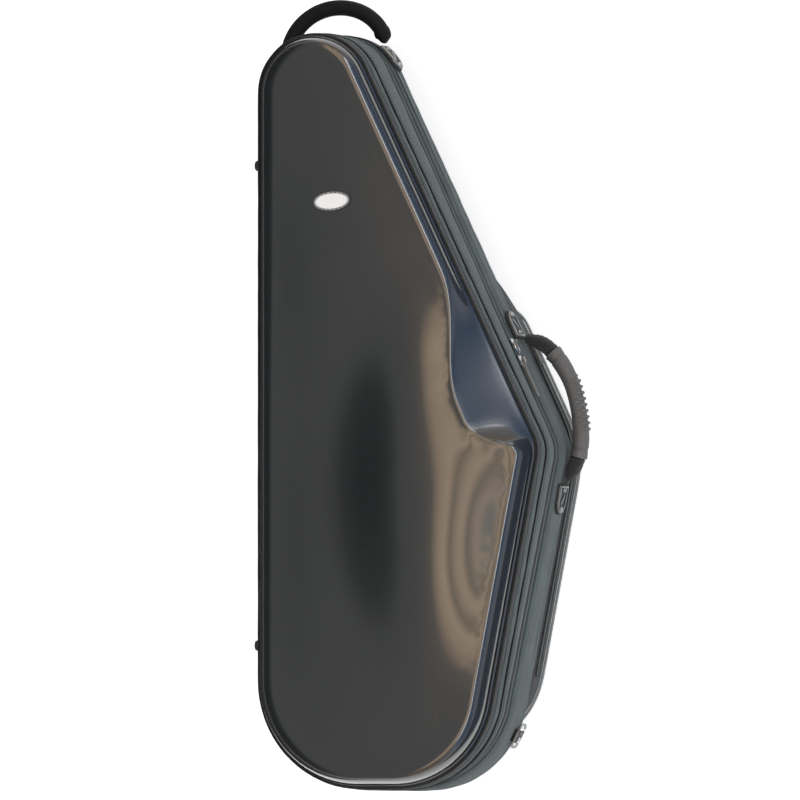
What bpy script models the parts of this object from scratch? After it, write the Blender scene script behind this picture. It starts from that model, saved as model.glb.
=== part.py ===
"""Tenor saxophone case: a shaped, zipped case lying on its back, with its gloss lid up.

X runs across the case from the straight spine (-X) to the bell side (+X), Y along it to the top
handle (+Y), and Z up out of the lid. The origin is on the floor under the middle of the case.
"""

import math

import bmesh
import bpy
from mathutils import Matrix, Vector
from mathutils.bvhtree import BVHTree

# Outline of the lid's rim, seen from the front
CASE_LENGTH = 0.834
SHOULDER_WIDTH = 0.324
SHOULDER_RISE = 0.376
BOTTOM_WIDTH = 0.252
TOP_RADIUS = 0.064
SHOULDER_RADIUS = 0.045
BOTTOM_SIDE_RADIUS = 0.110
BOTTOM_SPINE_RADIUS = 0.118
CORNER_RADII = (BOTTOM_SPINE_RADIUS, BOTTOM_SIDE_RADIUS, SHOULDER_RADIUS, TOP_RADIUS)
CORNER_STEPS = (7, 7, 4, 11)
BOTTOM_SIDE_INDEX, SHOULDER_INDEX, TOP_INDEX = 1, 2, 3

# Heights of the layers, from the floor up
POCKET_DEPTH = 0.046
BAND_DEPTH = 0.122
SPLIT_DROP = 0.069
SPLIT_SLOPE_SHARE = 0.037
SEAT_GAP = 0.0003

# Fabric bands, their rigid hoops and their linings
BAND_PROUD = 0.0030
BAND_BULGE = 0.0012
BAND_BULGE_LIFT = 0.011
BAND_INNER = 0.0035
BAND_EDGE_ROUND = 0.0015
HOOP_THICKNESS = 0.0055
LINING_THICKNESS = 0.0035
HOOP_SEAM = 0.0005
BACK_ROLL = 0.009
BACK_BOARD_THICKNESS = 0.004
BACK_COVER_THICKNESS = 0.0045
BACK_COVER_INSET = 0.005
PIPING_RADIUS = 0.0022
PIPING_SIDES = 6

# Binding round the shell's rim and the welt in the lid's band
BINDING_DEPTH = 0.0130
BINDING_PROUD = 0.0034
BINDING_LAP = 0.0022
WELT_DROP = 0.0295
WELT_RADIUS = 0.0019
WELT_GROOVE = 0.0026
WELT_SIDES = 5

# Main zip and its sliders
ZIP_HALF_WIDTH = 0.0085
ZIP_SEAM_GAP = 0.00015
TAPE_THICKNESS = 0.0012
COIL_WIDTH = 0.0030
COIL_HEIGHT = 0.0022
COIL_CROWN = 0.0006
SLIDER_RISE = 0.4800
SLIDER_SPACING = 0.0190
SLIDER_LENGTH = 0.0140
SLIDER_WIDTH = 0.0105
SLIDER_THICKNESS = 0.0022
BRIDGE_LENGTH = 0.0064
BRIDGE_WIDTH = 0.0030
BRIDGE_WALL = 0.0012
BRIDGE_HOLE = 0.0030
BRIDGE_SINK = 0.0004
PULL_WIRE = 0.0009
PULL_RING_RADIUS = 0.0058
PULL_RING_POINTS = 16
PULL_TAB_LENGTH = 0.0440
PULL_TAB_WIDTH = 0.0070
PULL_TAB_THICKNESS = 0.0016
PULL_EYE_LENGTH = 0.0050
PULL_EYE_WIDTH = 0.0046

# Hinge cloth along the spine
HINGE_HALF_WIDTH = 0.0130
HINGE_THICKNESS = 0.0009
HINGE_LIFT = 0.0007
HINGE_END_INSET = 0.0120

# Gloss shell and the foam liner under it
SHELL_THICKNESS = 0.0025
SHELL_DRAFT = 0.0045
RIM_STRIP = 0.0030
RIDGE_NECK = 0.0200
RIDGE_BELL = 0.0290
RIDGE_NECK_RISE = 0.650
RIDGE_ROUND = 0.0070
SPINE_ROLL = 0.0160
LEAST_ROLL = 0.0010
ROLL_TURNS = 3
DOME_RISE = 0.0060
MIDDLE_BOTTOM = 0.140
BELL_RISE = 0.0150
BELL_CENTRE = (0.214, 0.325)
BELL_REACH = (0.092, 0.235)
FACET_INSET = 0.040
FACET_LOW = 0.360
FACET_PEAK_LOW = 0.412
FACET_PEAK_HIGH = 0.430
FACET_HIGH = 0.552
SHELL_STEP = 0.046
LINER_STEP = 0.046
LINER_GAP = 0.0045
LINER_THICKNESS = 0.0040
FACE_SHARES = (0.15, 0.36, 0.60, 0.82, 0.95)

# Foam bed and its recess: circles (across, rise, radius) that each cut joins by a belt
BED_FLOOR = 0.0110
BED_DROP = 0.0060
RECESS_NECK = (0.065, 0.760, 0.0445)
RECESS_TUBE = (0.088, 0.150, 0.0560)
RECESS_BOW = (0.088, 0.120, 0.0660)
RECESS_BOTTOM = (0.168, 0.118, 0.0700)
RECESS_RISE = (0.210, 0.300, 0.0660)
RECESS_BELL = (0.224, 0.340, 0.0720)
RECESS_STEPS = 8
RECESS_HEIGHT = 0.150
STRAP_RISE = 0.540
STRAP_START = 0.0148
STRAP_END = 0.1600
STRAP_WIDTH = 0.0380
STRAP_THICKNESS = 0.0022
STRAP_PATCH_LENGTHS = (0.0090, 0.0300)
STRAP_PATCH_NAMES = ("spine", "side")

# Pocket on the back
POCKET_SPINE_INSET = 0.0140
POCKET_SIDE_INSET = 0.0005
POCKET_SEAM_INSET = 0.0050
POCKET_BOTTOM = 0.048
POCKET_TOP = 0.592
POCKET_TOP_SLANT = 0.085
POCKET_ROUND = 0.0130
POCKET_BULGE = 0.0010
POCKET_CORNER = 0.060
POCKET_SHOULDER = 0.120
POCKET_TOP_CORNER = 0.030
POCKET_STEPS = (6, 6, 4, 4, 4)
POCKET_UPPER_SHARE = 0.80
POCKET_MIDDLE_SHARE = 0.50
POCKET_EDGE_SHARE = 0.28
POCKET_PIPING_RADIUS = 0.0018
POCKET_ZIP_LIFT = 0.0300
POCKET_ZIP_HALF_WIDTH = 0.0055
POCKET_ZIP_LOW = 0.110
POCKET_ZIP_HIGH = 0.505
POCKET_SLIDER_RISE = 0.492
POCKET_SLIDER_LENGTH = 0.0120
POCKET_SLIDER_WIDTH = 0.0085
POCKET_PULL_LENGTH = 0.0260
POCKET_PULL_WIDTH = 0.0070
SKIN_STEP = 0.0010

# Plates that hold the handles
PLATE_LENGTH = 0.031
SIDE_PLATE_WIDTH = 0.026
TOP_PLATE_WIDTH = 0.022
PLATE_THICKNESS = 0.0020
PLATE_STEPS = 5
PLATE_TURN = math.radians(80)
PAD_MARGIN = 0.0020
PAD_THICKNESS = 0.0022
RIVET_RADIUS = 0.0028
RIVET_HEIGHT = 0.0012
RIVET_SINK = 0.0008
RIVET_SIDES = 10
RIVET_SHARE = 0.26

# Top handle, in angles about the centre of the top arc
TOP_HANDLE_LIFT = 0.0155
TOP_ANGLES = (math.radians(54), math.radians(151))
TOP_ARCH_RISE = 0.0275
TOP_ARCH_SHARE = 0.6
TOP_GRIP_SHARES = (0.060, 0.940)
TOP_GRIP_POINTS = 13
TOP_GRIP_RADIUS = 0.0088
TAB_WIDTH = 0.0110
TAB_THICKNESS = 0.0028
TAB_START = 0.0018
TAB_GAP = 0.0010
KNUCKLE_RADIUS = 0.0024
KNUCKLE_SIDES = 12
KNUCKLE_RINGS = 6

# Side handle: its roots over or under the shoulder, and its centreline between them, as
# (rise over the shoulder, reach out of the case's side)
SIDE_HANDLE_LIFT = 0.024
SIDE_ROOT_LIFTS = (0.1190, -0.0380)
SIDE_HANDLE_ROUTE = (
    (0.0989, 0.0304),
    (0.0615, 0.0383),
    (0.0192, 0.0296),
    (-0.0027, 0.0173),
)
SIDE_STRAP_SHARES = (0.060, 0.935)
SIDE_GRIP_SHARES = (0.200, 0.835)
SIDE_GRIP_RADIUS = 0.0098
SIDE_GRIP_POINTS = 11
SLEEVE_RADIUS = 0.0085
SLEEVE_END_RADIUS = 0.0052
SLEEVE_POINTS = 4
SLEEVE_TAPER_SHARE = 0.55
SIDE_STRAP_WIDTH = 0.0120
ROUTE_STEPS = 24
SQUARE_END_SHARE = 0.006

# Feet, on both halves of the spine: the lower over the bottom, the upper under the top
FOOT_LIFT = 0.157
FOOT_DROP = 0.143
FOOT_NAMES = ("lower", "upper")
FOOT_RADIUS = 0.0066
FOOT_SHOULDER = 0.0060
FOOT_CROWN = 0.0048
FOOT_HEIGHT = 0.0095
FOOT_SIDE_HEIGHT = 0.0023
FOOT_SHOULDER_HEIGHT = 0.0072
FOOT_LID_DROP = 0.0205
FOOT_BASE_LIFT = 0.0200
FOOT_HOLE = 0.0032
FOOT_HOLE_DEPTH = 0.0032
FOOT_SCREW_RADIUS = 0.0028
FOOT_SCREW_HEIGHT = 0.0016
FOOT_SIDES = 12

# Strap ring and its clip, on the lower corner of the bell side
STRAP_RING_ANGLE = math.radians(-27)
STRAP_CLIP_LIFT = 0.0140
STRAP_CLIP_LENGTH = 0.0090
STRAP_CLIP_WIDTH = 0.0150
STRAP_CLIP_THICKNESS = 0.0018
STRAP_CLIP_BORE = 0.0023
STRAP_CLIP_WALL = 0.0015
STRAP_CLIP_STEPS = 12
STRAP_RING_WIRE = 0.0016
STRAP_RING_WIDTH = 0.0280
STRAP_RING_LENGTH = 0.0170
STRAP_RING_CORNER = 0.0055
STRAP_RING_STEPS = 4

# Bare badge on the lid
BADGE_CENTRE = (0.0930, 0.6490)
BADGE_HALF_LENGTH = 0.0190
BADGE_HALF_WIDTH = 0.0085
BADGE_THICKNESS = 0.0012
BADGE_WIRE = 0.0010
BADGE_TURN = math.radians(5)
BADGE_POINTS = 24
DROP_HEIGHT = 1.0

MERGE = 0.00001
SMOOTH_ANGLE = math.radians(35)
SAME_WAY_SHARE = 0.9999
BACK_Z = POCKET_DEPTH
RIM_Z = POCKET_DEPTH + BAND_DEPTH
ORIGIN = Vector((-SHOULDER_WIDTH / 2, -CASE_LENGTH / 2))
UP = Vector((0, 0, 1))
TOP_HANDLE_Z = BACK_Z + TOP_HANDLE_LIFT
SIDE_HANDLE_Z = BACK_Z + SIDE_HANDLE_LIFT
SIDE_ROOT_RISES = tuple(SHOULDER_RISE + lift for lift in SIDE_ROOT_LIFTS)
FOOT_RISES = (FOOT_LIFT, CASE_LENGTH - FOOT_DROP)
SURFACE = BAND_PROUD + BAND_BULGE
PAD_LOW = SURFACE + SEAT_GAP
PLATE_LOW = PAD_LOW + PAD_THICKNESS + SEAT_GAP
PLATE_TOP = PLATE_LOW + PLATE_THICKNESS
ROOT_LIFT = PLATE_LOW + KNUCKLE_RADIUS
ROOT_STEP = KNUCKLE_RADIUS + SEAT_GAP
LINING_INNER = BAND_INNER + HOOP_THICKNESS + LINING_THICKNESS + 2 * SEAT_GAP
FLOOR_Z = BACK_Z + BACK_COVER_THICKNESS + BACK_BOARD_THICKNESS + 2 * SEAT_GAP
COLLECTIONS = {}
MATERIALS = {}


# Scene


def clear_scene():
    for old in list(bpy.data.objects):
        bpy.data.objects.remove(old)


def make_collection(key, name):
    made = bpy.data.collections.new(name)
    bpy.context.scene.collection.children.link(made)
    COLLECTIONS[key] = made


def make_material(name, colour, roughness, metallic=0.0):
    made = bpy.data.materials.new(name)
    made.use_nodes = True
    shader = made.node_tree.nodes["Principled BSDF"]
    shader.inputs["Base Color"].default_value = (*colour, 1.0)
    shader.inputs["Roughness"].default_value = roughness
    shader.inputs["Metallic"].default_value = metallic
    MATERIALS[name] = made


def make_materials():
    make_material("gloss_shell", (0.030, 0.032, 0.036), 0.12)
    make_material("binding_cloth", (0.012, 0.012, 0.013), 0.80)
    make_material("band_cloth", (0.125, 0.140, 0.138), 0.85)
    make_material("zip_cloth", (0.070, 0.078, 0.078), 0.85)
    make_material("zip_coil", (0.020, 0.020, 0.022), 0.45)
    make_material("hoop_foam", (0.10, 0.10, 0.10), 0.90)
    make_material("back_panel", (0.30, 0.22, 0.13), 0.70)
    make_material("plush_lining", (0.035, 0.035, 0.040), 0.95)
    make_material("pocket_nylon", (0.055, 0.058, 0.062), 0.75)
    make_material("piping", (0.22, 0.23, 0.24), 0.50)
    make_material("slider_metal", (0.55, 0.55, 0.56), 0.30, 1.0)
    make_material("plate_metal", (0.60, 0.60, 0.60), 0.35, 1.0)
    make_material("pad_rubber", (0.015, 0.015, 0.016), 0.80)
    make_material("grip_rubber", (0.115, 0.110, 0.108), 0.60)
    make_material("sleeve_cloth", (0.045, 0.045, 0.044), 0.85)
    make_material("handle_leather", (0.030, 0.030, 0.032), 0.55)
    make_material("foot_rubber", (0.020, 0.020, 0.021), 0.70)
    make_material("screw_steel", (0.50, 0.50, 0.51), 0.40, 1.0)
    make_material("badge_plate", (0.75, 0.76, 0.78), 0.25, 1.0)


def link(name, data, material, collection="parts"):
    obj = bpy.data.objects.new(name, data)
    COLLECTIONS[collection].objects.link(obj)
    if material is not None:
        data.materials.append(MATERIALS[material])
    return obj


def mesh_object(name, shape, material):
    """An object from a bmesh, with its faces turned outward."""
    bmesh.ops.recalc_face_normals(shape, faces=shape.faces[:])
    data = bpy.data.meshes.new(name)
    shape.to_mesh(data)
    shape.free()
    return link(name, data, material)


def place(obj, matrix):
    obj.matrix_world = matrix
    return obj


def evaluated_mesh(obj):
    bpy.context.view_layer.update()
    graph = bpy.context.evaluated_depsgraph_get()
    return bpy.data.meshes.new_from_object(obj.evaluated_get(graph))


def as_mesh(obj):
    """The curve object as a closed mesh object of the same name."""
    data = evaluated_mesh(obj)
    shape = bmesh.new()
    shape.from_mesh(data)
    bmesh.ops.remove_doubles(shape, verts=shape.verts[:], dist=MERGE)
    bmesh.ops.recalc_face_normals(shape, faces=shape.faces[:])
    shape.to_mesh(data)
    shape.free()
    name = obj.name
    collection = obj.users_collection[0]
    bpy.data.objects.remove(obj)
    made = bpy.data.objects.new(name, data)
    collection.objects.link(made)
    return made


def combine(obj, other, operation):
    """Cut the other object out of this one, or add it."""
    boolean = obj.modifiers.new(operation.lower(), "BOOLEAN")
    boolean.operation = operation
    boolean.solver = "EXACT"
    boolean.object = other
    other.hide_render = True
    other.display_type = "WIRE"
    return obj


def smooth(obj):
    obj.data.shade_smooth()
    obj.data.set_sharp_from_angle(angle=SMOOTH_ANGLE)
    return obj


def carry(name, point, pieces):
    """An empty on a joint's axis, which carries the pieces that move on that joint."""
    empty = bpy.data.objects.new(name, None)
    COLLECTIONS["parts"].objects.link(empty)
    empty.location = point
    bpy.context.view_layer.update()
    for piece in pieces:
        world = piece.matrix_world.copy()
        piece.parent = empty
        piece.matrix_world = world


# Outlines


def direction(angle):
    return Vector((math.cos(angle), math.sin(angle)))


def turned_left(vector):
    return Vector((-vector.y, vector.x))


def raised(point, z):
    return Vector((point.x, point.y, z))


def mix(low, high, share):
    return low + (high - low) * share


def ease(value, low, high):
    """0 below low, 1 above high, and a smooth rise between them."""
    share = max(0.0, min(1.0, (value - low) / (high - low)))
    return share * share * (3 - 2 * share)


def meet(point_a, normal_a, point_b, normal_b):
    """Where two lines cross, each given by a point on it and its normal."""
    rows = Matrix((normal_a, normal_b))
    return rows.inverted() @ Vector((normal_a.dot(point_a), normal_b.dot(point_b)))


def case_corners():
    """The corners of the rim's outline before rounding, anticlockwise from the spine's foot."""
    shoulder = ORIGIN + Vector((SHOULDER_WIDTH, SHOULDER_RISE))
    top_centre = ORIGIN + Vector((TOP_RADIUS, CASE_LENGTH - TOP_RADIUS))
    apart = shoulder - top_centre
    slant = direction(math.atan2(apart.y, apart.x) + math.acos(TOP_RADIUS / apart.length))
    peak = meet(ORIGIN, Vector((-1, 0)), shoulder, slant)
    return [ORIGIN.copy(), ORIGIN + Vector((BOTTOM_WIDTH, 0)), shoulder, peak]


def corner_frame(corners, index, radius):
    """Normals of the sides before and after a corner, and the centre of its round."""
    here = corners[index]
    before = -turned_left((here - corners[index - 1]).normalized())
    after = -turned_left((corners[(index + 1) % len(corners)] - here).normalized())
    return before, after, here - radius * (before + after) / (1 + before.dot(after))


def rounded_path(corners, radii, steps):
    """Points of a convex outline with round corners, each with its outward normal."""
    path = []
    for index, (radius, count) in enumerate(zip(radii, steps)):
        before, after, centre = corner_frame(corners, index, radius)
        start = math.atan2(before.y, before.x)
        turn = math.acos(before.dot(after))
        for k in range(count + 1):
            normal = direction(start + turn * k / count)
            path.append((centre + radius * normal, normal))
    return path


def evenly(path, longest):
    """The same closed path with points added along its straight runs."""
    made = []
    for i, (point, normal) in enumerate(path):
        made.append((point, normal))
        after, next_normal = path[(i + 1) % len(path)]
        extra = int((after - point).length / longest)
        if normal.dot(next_normal) > SAME_WAY_SHARE:
            for k in range(1, extra + 1):
                made.append((point.lerp(after, k / (extra + 1)), normal))
    return made


def case_path():
    return rounded_path(case_corners(), CORNER_RADII, CORNER_STEPS)


def case_outline(inset):
    return [point - normal * inset for point, normal in case_path()]


def side_normal(low_corner):
    """Outward normal of the straight side that runs up from a corner."""
    corners = case_corners()
    return -turned_left((corners[low_corner + 1] - corners[low_corner]).normalized())


def slanted_normal():
    return side_normal(SHOULDER_INDEX)


def lower_normal():
    return side_normal(BOTTOM_SIDE_INDEX)


def on_side(normal, rise):
    """The point at a rise on a straight side that runs through the shoulder's corner."""
    shoulder = case_corners()[SHOULDER_INDEX]
    along = turned_left(normal)
    return shoulder + along * ((ORIGIN.y + rise - shoulder.y) / along.y)


def arc_centre(index):
    return corner_frame(case_corners(), index, CORNER_RADII[index])[2]


def split_z(y):
    """Height of the plane where the lid meets the base."""
    return RIM_Z - SPLIT_DROP - SPLIT_SLOPE_SHARE * y


def rim_z(y):
    return RIM_Z


def back_z(y):
    return BACK_Z


def floor_z(y):
    return FLOOR_Z


def frame_of(first, second, third, point):
    """A placing matrix whose axes are the three given unit vectors."""
    frame = Matrix((first, second, third)).transposed().to_4x4()
    frame.translation = point
    return frame


def wall_frame(point, z, normal):
    """Frame of a piece on the wall: X along the outline, Y up, Z outward."""
    return frame_of(raised(turned_left(normal), 0), UP, raised(normal, 0), raised(point, z))


def lifted(frame, height):
    return frame @ Matrix.Translation((0, 0, height))


# Makers of shapes


def loft(shape, rings, closed):
    """Faces between rings of points, which close on the first ring or end in flat caps."""
    spans = len(rings) if closed else len(rings) - 1
    for i in range(spans):
        here, after = rings[i], rings[(i + 1) % len(rings)]
        for k in range(len(here)):
            m = (k + 1) % len(here)
            shape.faces.new((here[k], here[m], after[m], after[k]))
    if not closed:
        shape.faces.new(rings[0])
        shape.faces.new(list(reversed(rings[-1])))


def sweep(name, path, section, material, closed=True):
    """A solid with a section of (outward distance, height rule, rise) carried round a path."""
    shape = bmesh.new()
    rings = []
    for point, normal in path:
        ring = []
        for outward, level, rise in section:
            spot = point + normal * outward
            ring.append(shape.verts.new(raised(spot, level(spot.y) + rise)))
        rings.append(ring)
    loft(shape, rings, closed)
    return smooth(mesh_object(name, shape, material))


def ribbon(name, stations, low, high, material):
    """An upright strip of oblong section along stations of (point, outward, half width)."""
    shape = bmesh.new()
    rings = []
    for point, outward, half in stations:
        corners = ((-half, low), (half, low), (half, high), (-half, high))
        rings.append([shape.verts.new(point + UP * a + outward * b) for a, b in corners])
    loft(shape, rings, False)
    return mesh_object(name, shape, material)


def round_section(outward, level, rise, radius, sides):
    """A round section, for a cord that is carried round a path."""
    section = []
    for k in range(sides):
        spoke = direction(2 * math.pi * k / sides) * radius
        section.append((outward + spoke.x, level, rise + spoke.y))
    return section


def slab(name, loops, thickness, material, collection="parts"):
    """A flat piece from outlines, the first its edge and the others holes, on its own mid plane."""
    data = bpy.data.curves.new(name, "CURVE")
    data.dimensions = "2D"
    data.fill_mode = "BOTH"
    data.extrude = thickness / 2
    for loop in loops:
        spline = data.splines.new("POLY")
        spline.points.add(len(loop) - 1)
        for spot, (x, y) in zip(spline.points, loop):
            spot.co = (x, y, 0, 1)
        spline.use_cyclic_u = True
    return as_mesh(link(name, data, material, collection))


def oblong(low_x, high_x, low_y, high_y):
    return [(low_x, low_y), (high_x, low_y), (high_x, high_y), (low_x, high_y)]


def tube(name, points, radius, material, resolution=2, closed=False, radii=None):
    """A round bar along points, whose radii may vary from point to point."""
    data = bpy.data.curves.new(name, "CURVE")
    data.dimensions = "3D"
    data.bevel_depth = radius
    data.bevel_resolution = resolution
    data.use_fill_caps = not closed
    spline = data.splines.new("POLY")
    spline.points.add(len(points) - 1)
    for i, (spot, point) in enumerate(zip(spline.points, points)):
        spot.co = (*point, 1)
        spot.radius = radii[i] / radius if radii else 1
    spline.use_cyclic_u = closed
    return smooth(as_mesh(link(name, data, material)))


def box(name, size, material):
    shape = bmesh.new()
    bmesh.ops.create_cube(shape, size=1)
    bmesh.ops.scale(shape, vec=size, verts=shape.verts[:])
    return mesh_object(name, shape, material)


def turned(name, profile, sides, material, collection="parts"):
    """A round piece from a profile of (radius, height), running down its outer side."""
    shape = bmesh.new()
    spots = [shape.verts.new((radius, 0, height)) for radius, height in profile]
    for a, b in zip(spots, spots[1:]):
        shape.edges.new((a, b))
    data = bpy.data.meshes.new(name)
    shape.to_mesh(data)
    shape.free()
    obj = link(name, data, material, collection)
    screw = obj.modifiers.new("turn", "SCREW")
    screw.axis = "Z"
    screw.steps = sides
    screw.render_steps = sides
    screw.use_merge_vertices = True
    screw.merge_threshold = MERGE
    return obj


def smooth_route(points, steps):
    """Points on a smooth curve through the given ones."""
    route = []
    last = len(points) - 1
    for i in range(last):
        a, b = points[i], points[i + 1]
        lead = (b - points[max(i - 1, 0)]) / 2
        trail = (points[min(i + 2, last)] - a) / 2
        for k in range(steps):
            t = k / steps
            spot = a * (2 * t**3 - 3 * t**2 + 1) + b * (3 * t**2 - 2 * t**3)
            route.append(spot + lead * (t**3 - 2 * t**2 + t) + trail * (t**3 - t**2))
    return route + [points[-1]]


def route_length(route):
    return sum((b - a).length for a, b in zip(route, route[1:]))


def along_route(route, share):
    """The point at a share of a route's length."""
    left = share * route_length(route)
    for start, end in zip(route, route[1:]):
        length = (end - start).length
        if left <= length:
            return start.lerp(end, left / length)
        left -= length
    return route[-1].copy()


def square_shares(low, high, count):
    """Even shares from low to high, with one more close to each end, which squares that end."""
    close = math.copysign(SQUARE_END_SHARE, high - low)
    inner = [mix(low, high, k / (count - 1)) for k in range(1, count - 1)]
    return [low, low + close, *inner, high - close, high]


# Gloss shell and its liner


def ridge_height(y):
    """Height of the shell's side wall above the rim, which is higher round the bell."""
    return mix(RIDGE_BELL, RIDGE_NECK, ease(y - ORIGIN.y, SHOULDER_RISE, RIDGE_NECK_RISE))


def roll_radius(normal):
    """Radius of the shell's edge, which is broad along the spine."""
    return mix(RIDGE_ROUND, SPINE_ROLL, ease(-normal.x, 0, 1))


def facet_share(point, normal):
    """How far the wall leans in, to form the broad facet above the bell's shoulder."""
    rise = point.y - ORIGIN.y
    if normal.x < 0:
        return 0.0
    return ease(rise, FACET_LOW, FACET_PEAK_LOW) * (1 - ease(rise, FACET_PEAK_HIGH, FACET_HIGH))


def neck_share(y):
    """How far a height is from the shoulder to the centre of the top arc."""
    return (y - ORIGIN.y - SHOULDER_RISE) / (CASE_LENGTH - TOP_RADIUS - SHOULDER_RISE)


def middle_line(y):
    """The line midway between the outline's two sides."""
    share = neck_share(y)
    if share > 0:
        return ORIGIN.x + mix(SHOULDER_WIDTH / 2, TOP_RADIUS, share)
    share = (y - ORIGIN.y - BOTTOM_SPINE_RADIUS) / (SHOULDER_RISE - BOTTOM_SPINE_RADIUS)
    return ORIGIN.x + mix(MIDDLE_BOTTOM, SHOULDER_WIDTH / 2, share)


def fan_radius(y):
    """How far inward the lines across the shell from a round corner draw together."""
    share = neck_share(y)
    if share > 0:
        return mix(SHOULDER_RADIUS, TOP_RADIUS, min(1, share))
    share = (y - ORIGIN.y - BOTTOM_SIDE_RADIUS) / (SHOULDER_RISE - BOTTOM_SIDE_RADIUS)
    return mix(BOTTOM_SIDE_RADIUS, SHOULDER_RADIUS, max(0, share))


def middle_of(point, normal):
    """The point of the middle line that the shell's face runs to from a point of the outline."""
    y = point.y - normal.y * fan_radius(point.y)
    y = max(ORIGIN.y + BOTTOM_SPINE_RADIUS, min(-ORIGIN.y - TOP_RADIUS, y))
    return Vector((middle_line(y), y))


def bell_bump(spot):
    across = (spot.x - ORIGIN.x - BELL_CENTRE[0]) / BELL_REACH[0]
    along = (spot.y - ORIGIN.y - BELL_CENTRE[1]) / BELL_REACH[1]
    reach = across**2 + along**2
    return BELL_RISE * (1 - reach) ** 2 if reach < 1 else 0.0


def shell_ring(point, normal, shrink):
    """Points from the rim over the side wall to the middle, all drawn in by shrink."""
    height = ridge_height(point.y)
    roll = max(roll_radius(normal) - shrink, LEAST_ROLL)
    inset = SHELL_DRAFT + FACET_INSET * facet_share(point, normal) + shrink
    top = height - shrink
    wall = [(shrink, 0), (shrink, RIM_STRIP), (inset, top - roll)]
    for k in range(1, ROLL_TURNS + 1):
        turn = direction(math.pi / 2 * k / ROLL_TURNS)
        wall.append((inset + roll * (1 - turn.x), top - roll * (1 - turn.y)))
    spots = [raised(point - normal * inward, RIM_Z + rise) for inward, rise in wall]
    edge = spots[-1].xy
    centre = middle_of(point, normal)
    for share in FACE_SHARES:
        spot = edge.lerp(centre, share)
        level = mix(height, ridge_height(centre.y), share) - shrink
        crown = DOME_RISE * (1 - (1 - share) ** 2)
        bump = bell_bump(spot) * ease(share, 0, 2 * FACE_SHARES[0])
        spots.append(raised(spot, RIM_Z + level + crown + bump))
    return spots


def shell_form(name, shrink, thickness, longest, material):
    """The shell's outer surface, drawn in by shrink, with a thickness inward."""
    shape = bmesh.new()
    rows = []
    for point, normal in evenly(case_path(), longest):
        rows.append([shape.verts.new(spot) for spot in shell_ring(point, normal, shrink)])
    for i, here in enumerate(rows):
        after = rows[(i + 1) % len(rows)]
        for k in range(len(here) - 1):
            shape.faces.new((here[k], after[k], after[k + 1], here[k + 1]))
    cap = shape.faces.new([row[-1] for row in rows])
    bmesh.ops.triangulate(shape, faces=[cap])
    data = bpy.data.meshes.new(name)
    shape.to_mesh(data)
    shape.free()
    obj = link(name, data, material)
    skin = obj.modifiers.new("thickness", "SOLIDIFY")
    skin.thickness = thickness
    skin.offset = -1
    return smooth(obj)


def make_shell():
    shell = shell_form("lid_shell", 0, SHELL_THICKNESS, SHELL_STEP, "gloss_shell")
    shell_form("lid_liner", SHELL_THICKNESS + LINER_GAP, LINER_THICKNESS, LINER_STEP, "hoop_foam")
    return shell


# Bands, hoops and linings


def make_lid_binding():
    waist = BINDING_DEPTH / 2
    bead = (BINDING_PROUD + SEAT_GAP) / 2
    section = [
        (-BAND_INNER, rim_z, -SEAT_GAP),
        (-BAND_INNER, rim_z, -BINDING_DEPTH),
        (BAND_PROUD - BAND_EDGE_ROUND, rim_z, -BINDING_DEPTH),
        (BAND_PROUD, rim_z, -waist),
        (BINDING_PROUD, rim_z, BINDING_LAP / 2),
        (bead, rim_z, BINDING_LAP),
        (SEAT_GAP, rim_z, BINDING_LAP / 2),
        (SEAT_GAP, rim_z, -SEAT_GAP),
    ]
    sweep("lid_binding", case_path(), section, "binding_cloth")


def make_lid_band():
    top = -BINDING_DEPTH - SEAT_GAP
    welt = WELT_RADIUS + SEAT_GAP
    groove = BAND_PROUD - WELT_GROOVE
    edge = BAND_EDGE_ROUND
    section = [
        (-BAND_INNER, rim_z, top),
        (-BAND_INNER, split_z, ZIP_HALF_WIDTH),
        (BAND_PROUD - edge, split_z, ZIP_HALF_WIDTH),
        (BAND_PROUD, split_z, ZIP_HALF_WIDTH + edge),
        (SURFACE, split_z, ZIP_HALF_WIDTH + BAND_BULGE_LIFT),
        (BAND_PROUD, rim_z, -WELT_DROP - welt),
        (groove, rim_z, -WELT_DROP - welt),
        (groove, rim_z, -WELT_DROP + welt),
        (BAND_PROUD, rim_z, -WELT_DROP + welt),
        (BAND_PROUD, rim_z, top - edge),
        (BAND_PROUD - edge, rim_z, top),
    ]
    sweep("lid_band", case_path(), section, "band_cloth")


def make_lid_welt():
    outward = BAND_PROUD - WELT_GROOVE + WELT_RADIUS + SEAT_GAP
    section = round_section(outward, rim_z, -WELT_DROP, WELT_RADIUS, WELT_SIDES)
    sweep("lid_welt", case_path(), section, "binding_cloth")


def make_base_band():
    edge = BAND_EDGE_ROUND
    cord_top = PIPING_RADIUS + SEAT_GAP
    section = [
        (-BAND_INNER, split_z, -ZIP_HALF_WIDTH),
        (-BAND_INNER, back_z, cord_top),
        (BAND_PROUD - PIPING_RADIUS, back_z, cord_top + SEAT_GAP),
        (BAND_PROUD, back_z, BACK_ROLL),
        (SURFACE, back_z, 2 * BACK_ROLL),
        (BAND_PROUD, split_z, -ZIP_HALF_WIDTH - edge),
        (BAND_PROUD - edge, split_z, -ZIP_HALF_WIDTH),
    ]
    sweep("base_band", case_path(), section, "band_cloth")


def make_back_piping():
    """The cord sewn along the back edge, under the band's rolled corner."""
    section = round_section(BAND_PROUD - 2 * PIPING_RADIUS, back_z, 0, PIPING_RADIUS, PIPING_SIDES)
    sweep("back_piping", case_path(), section, "binding_cloth")


def split_section(low, high, near, far):
    """An oblong section between two outward distances and two rises from the split."""
    return [(low, split_z, near), (high, split_z, near), (high, split_z, far), (low, split_z, far)]


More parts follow.
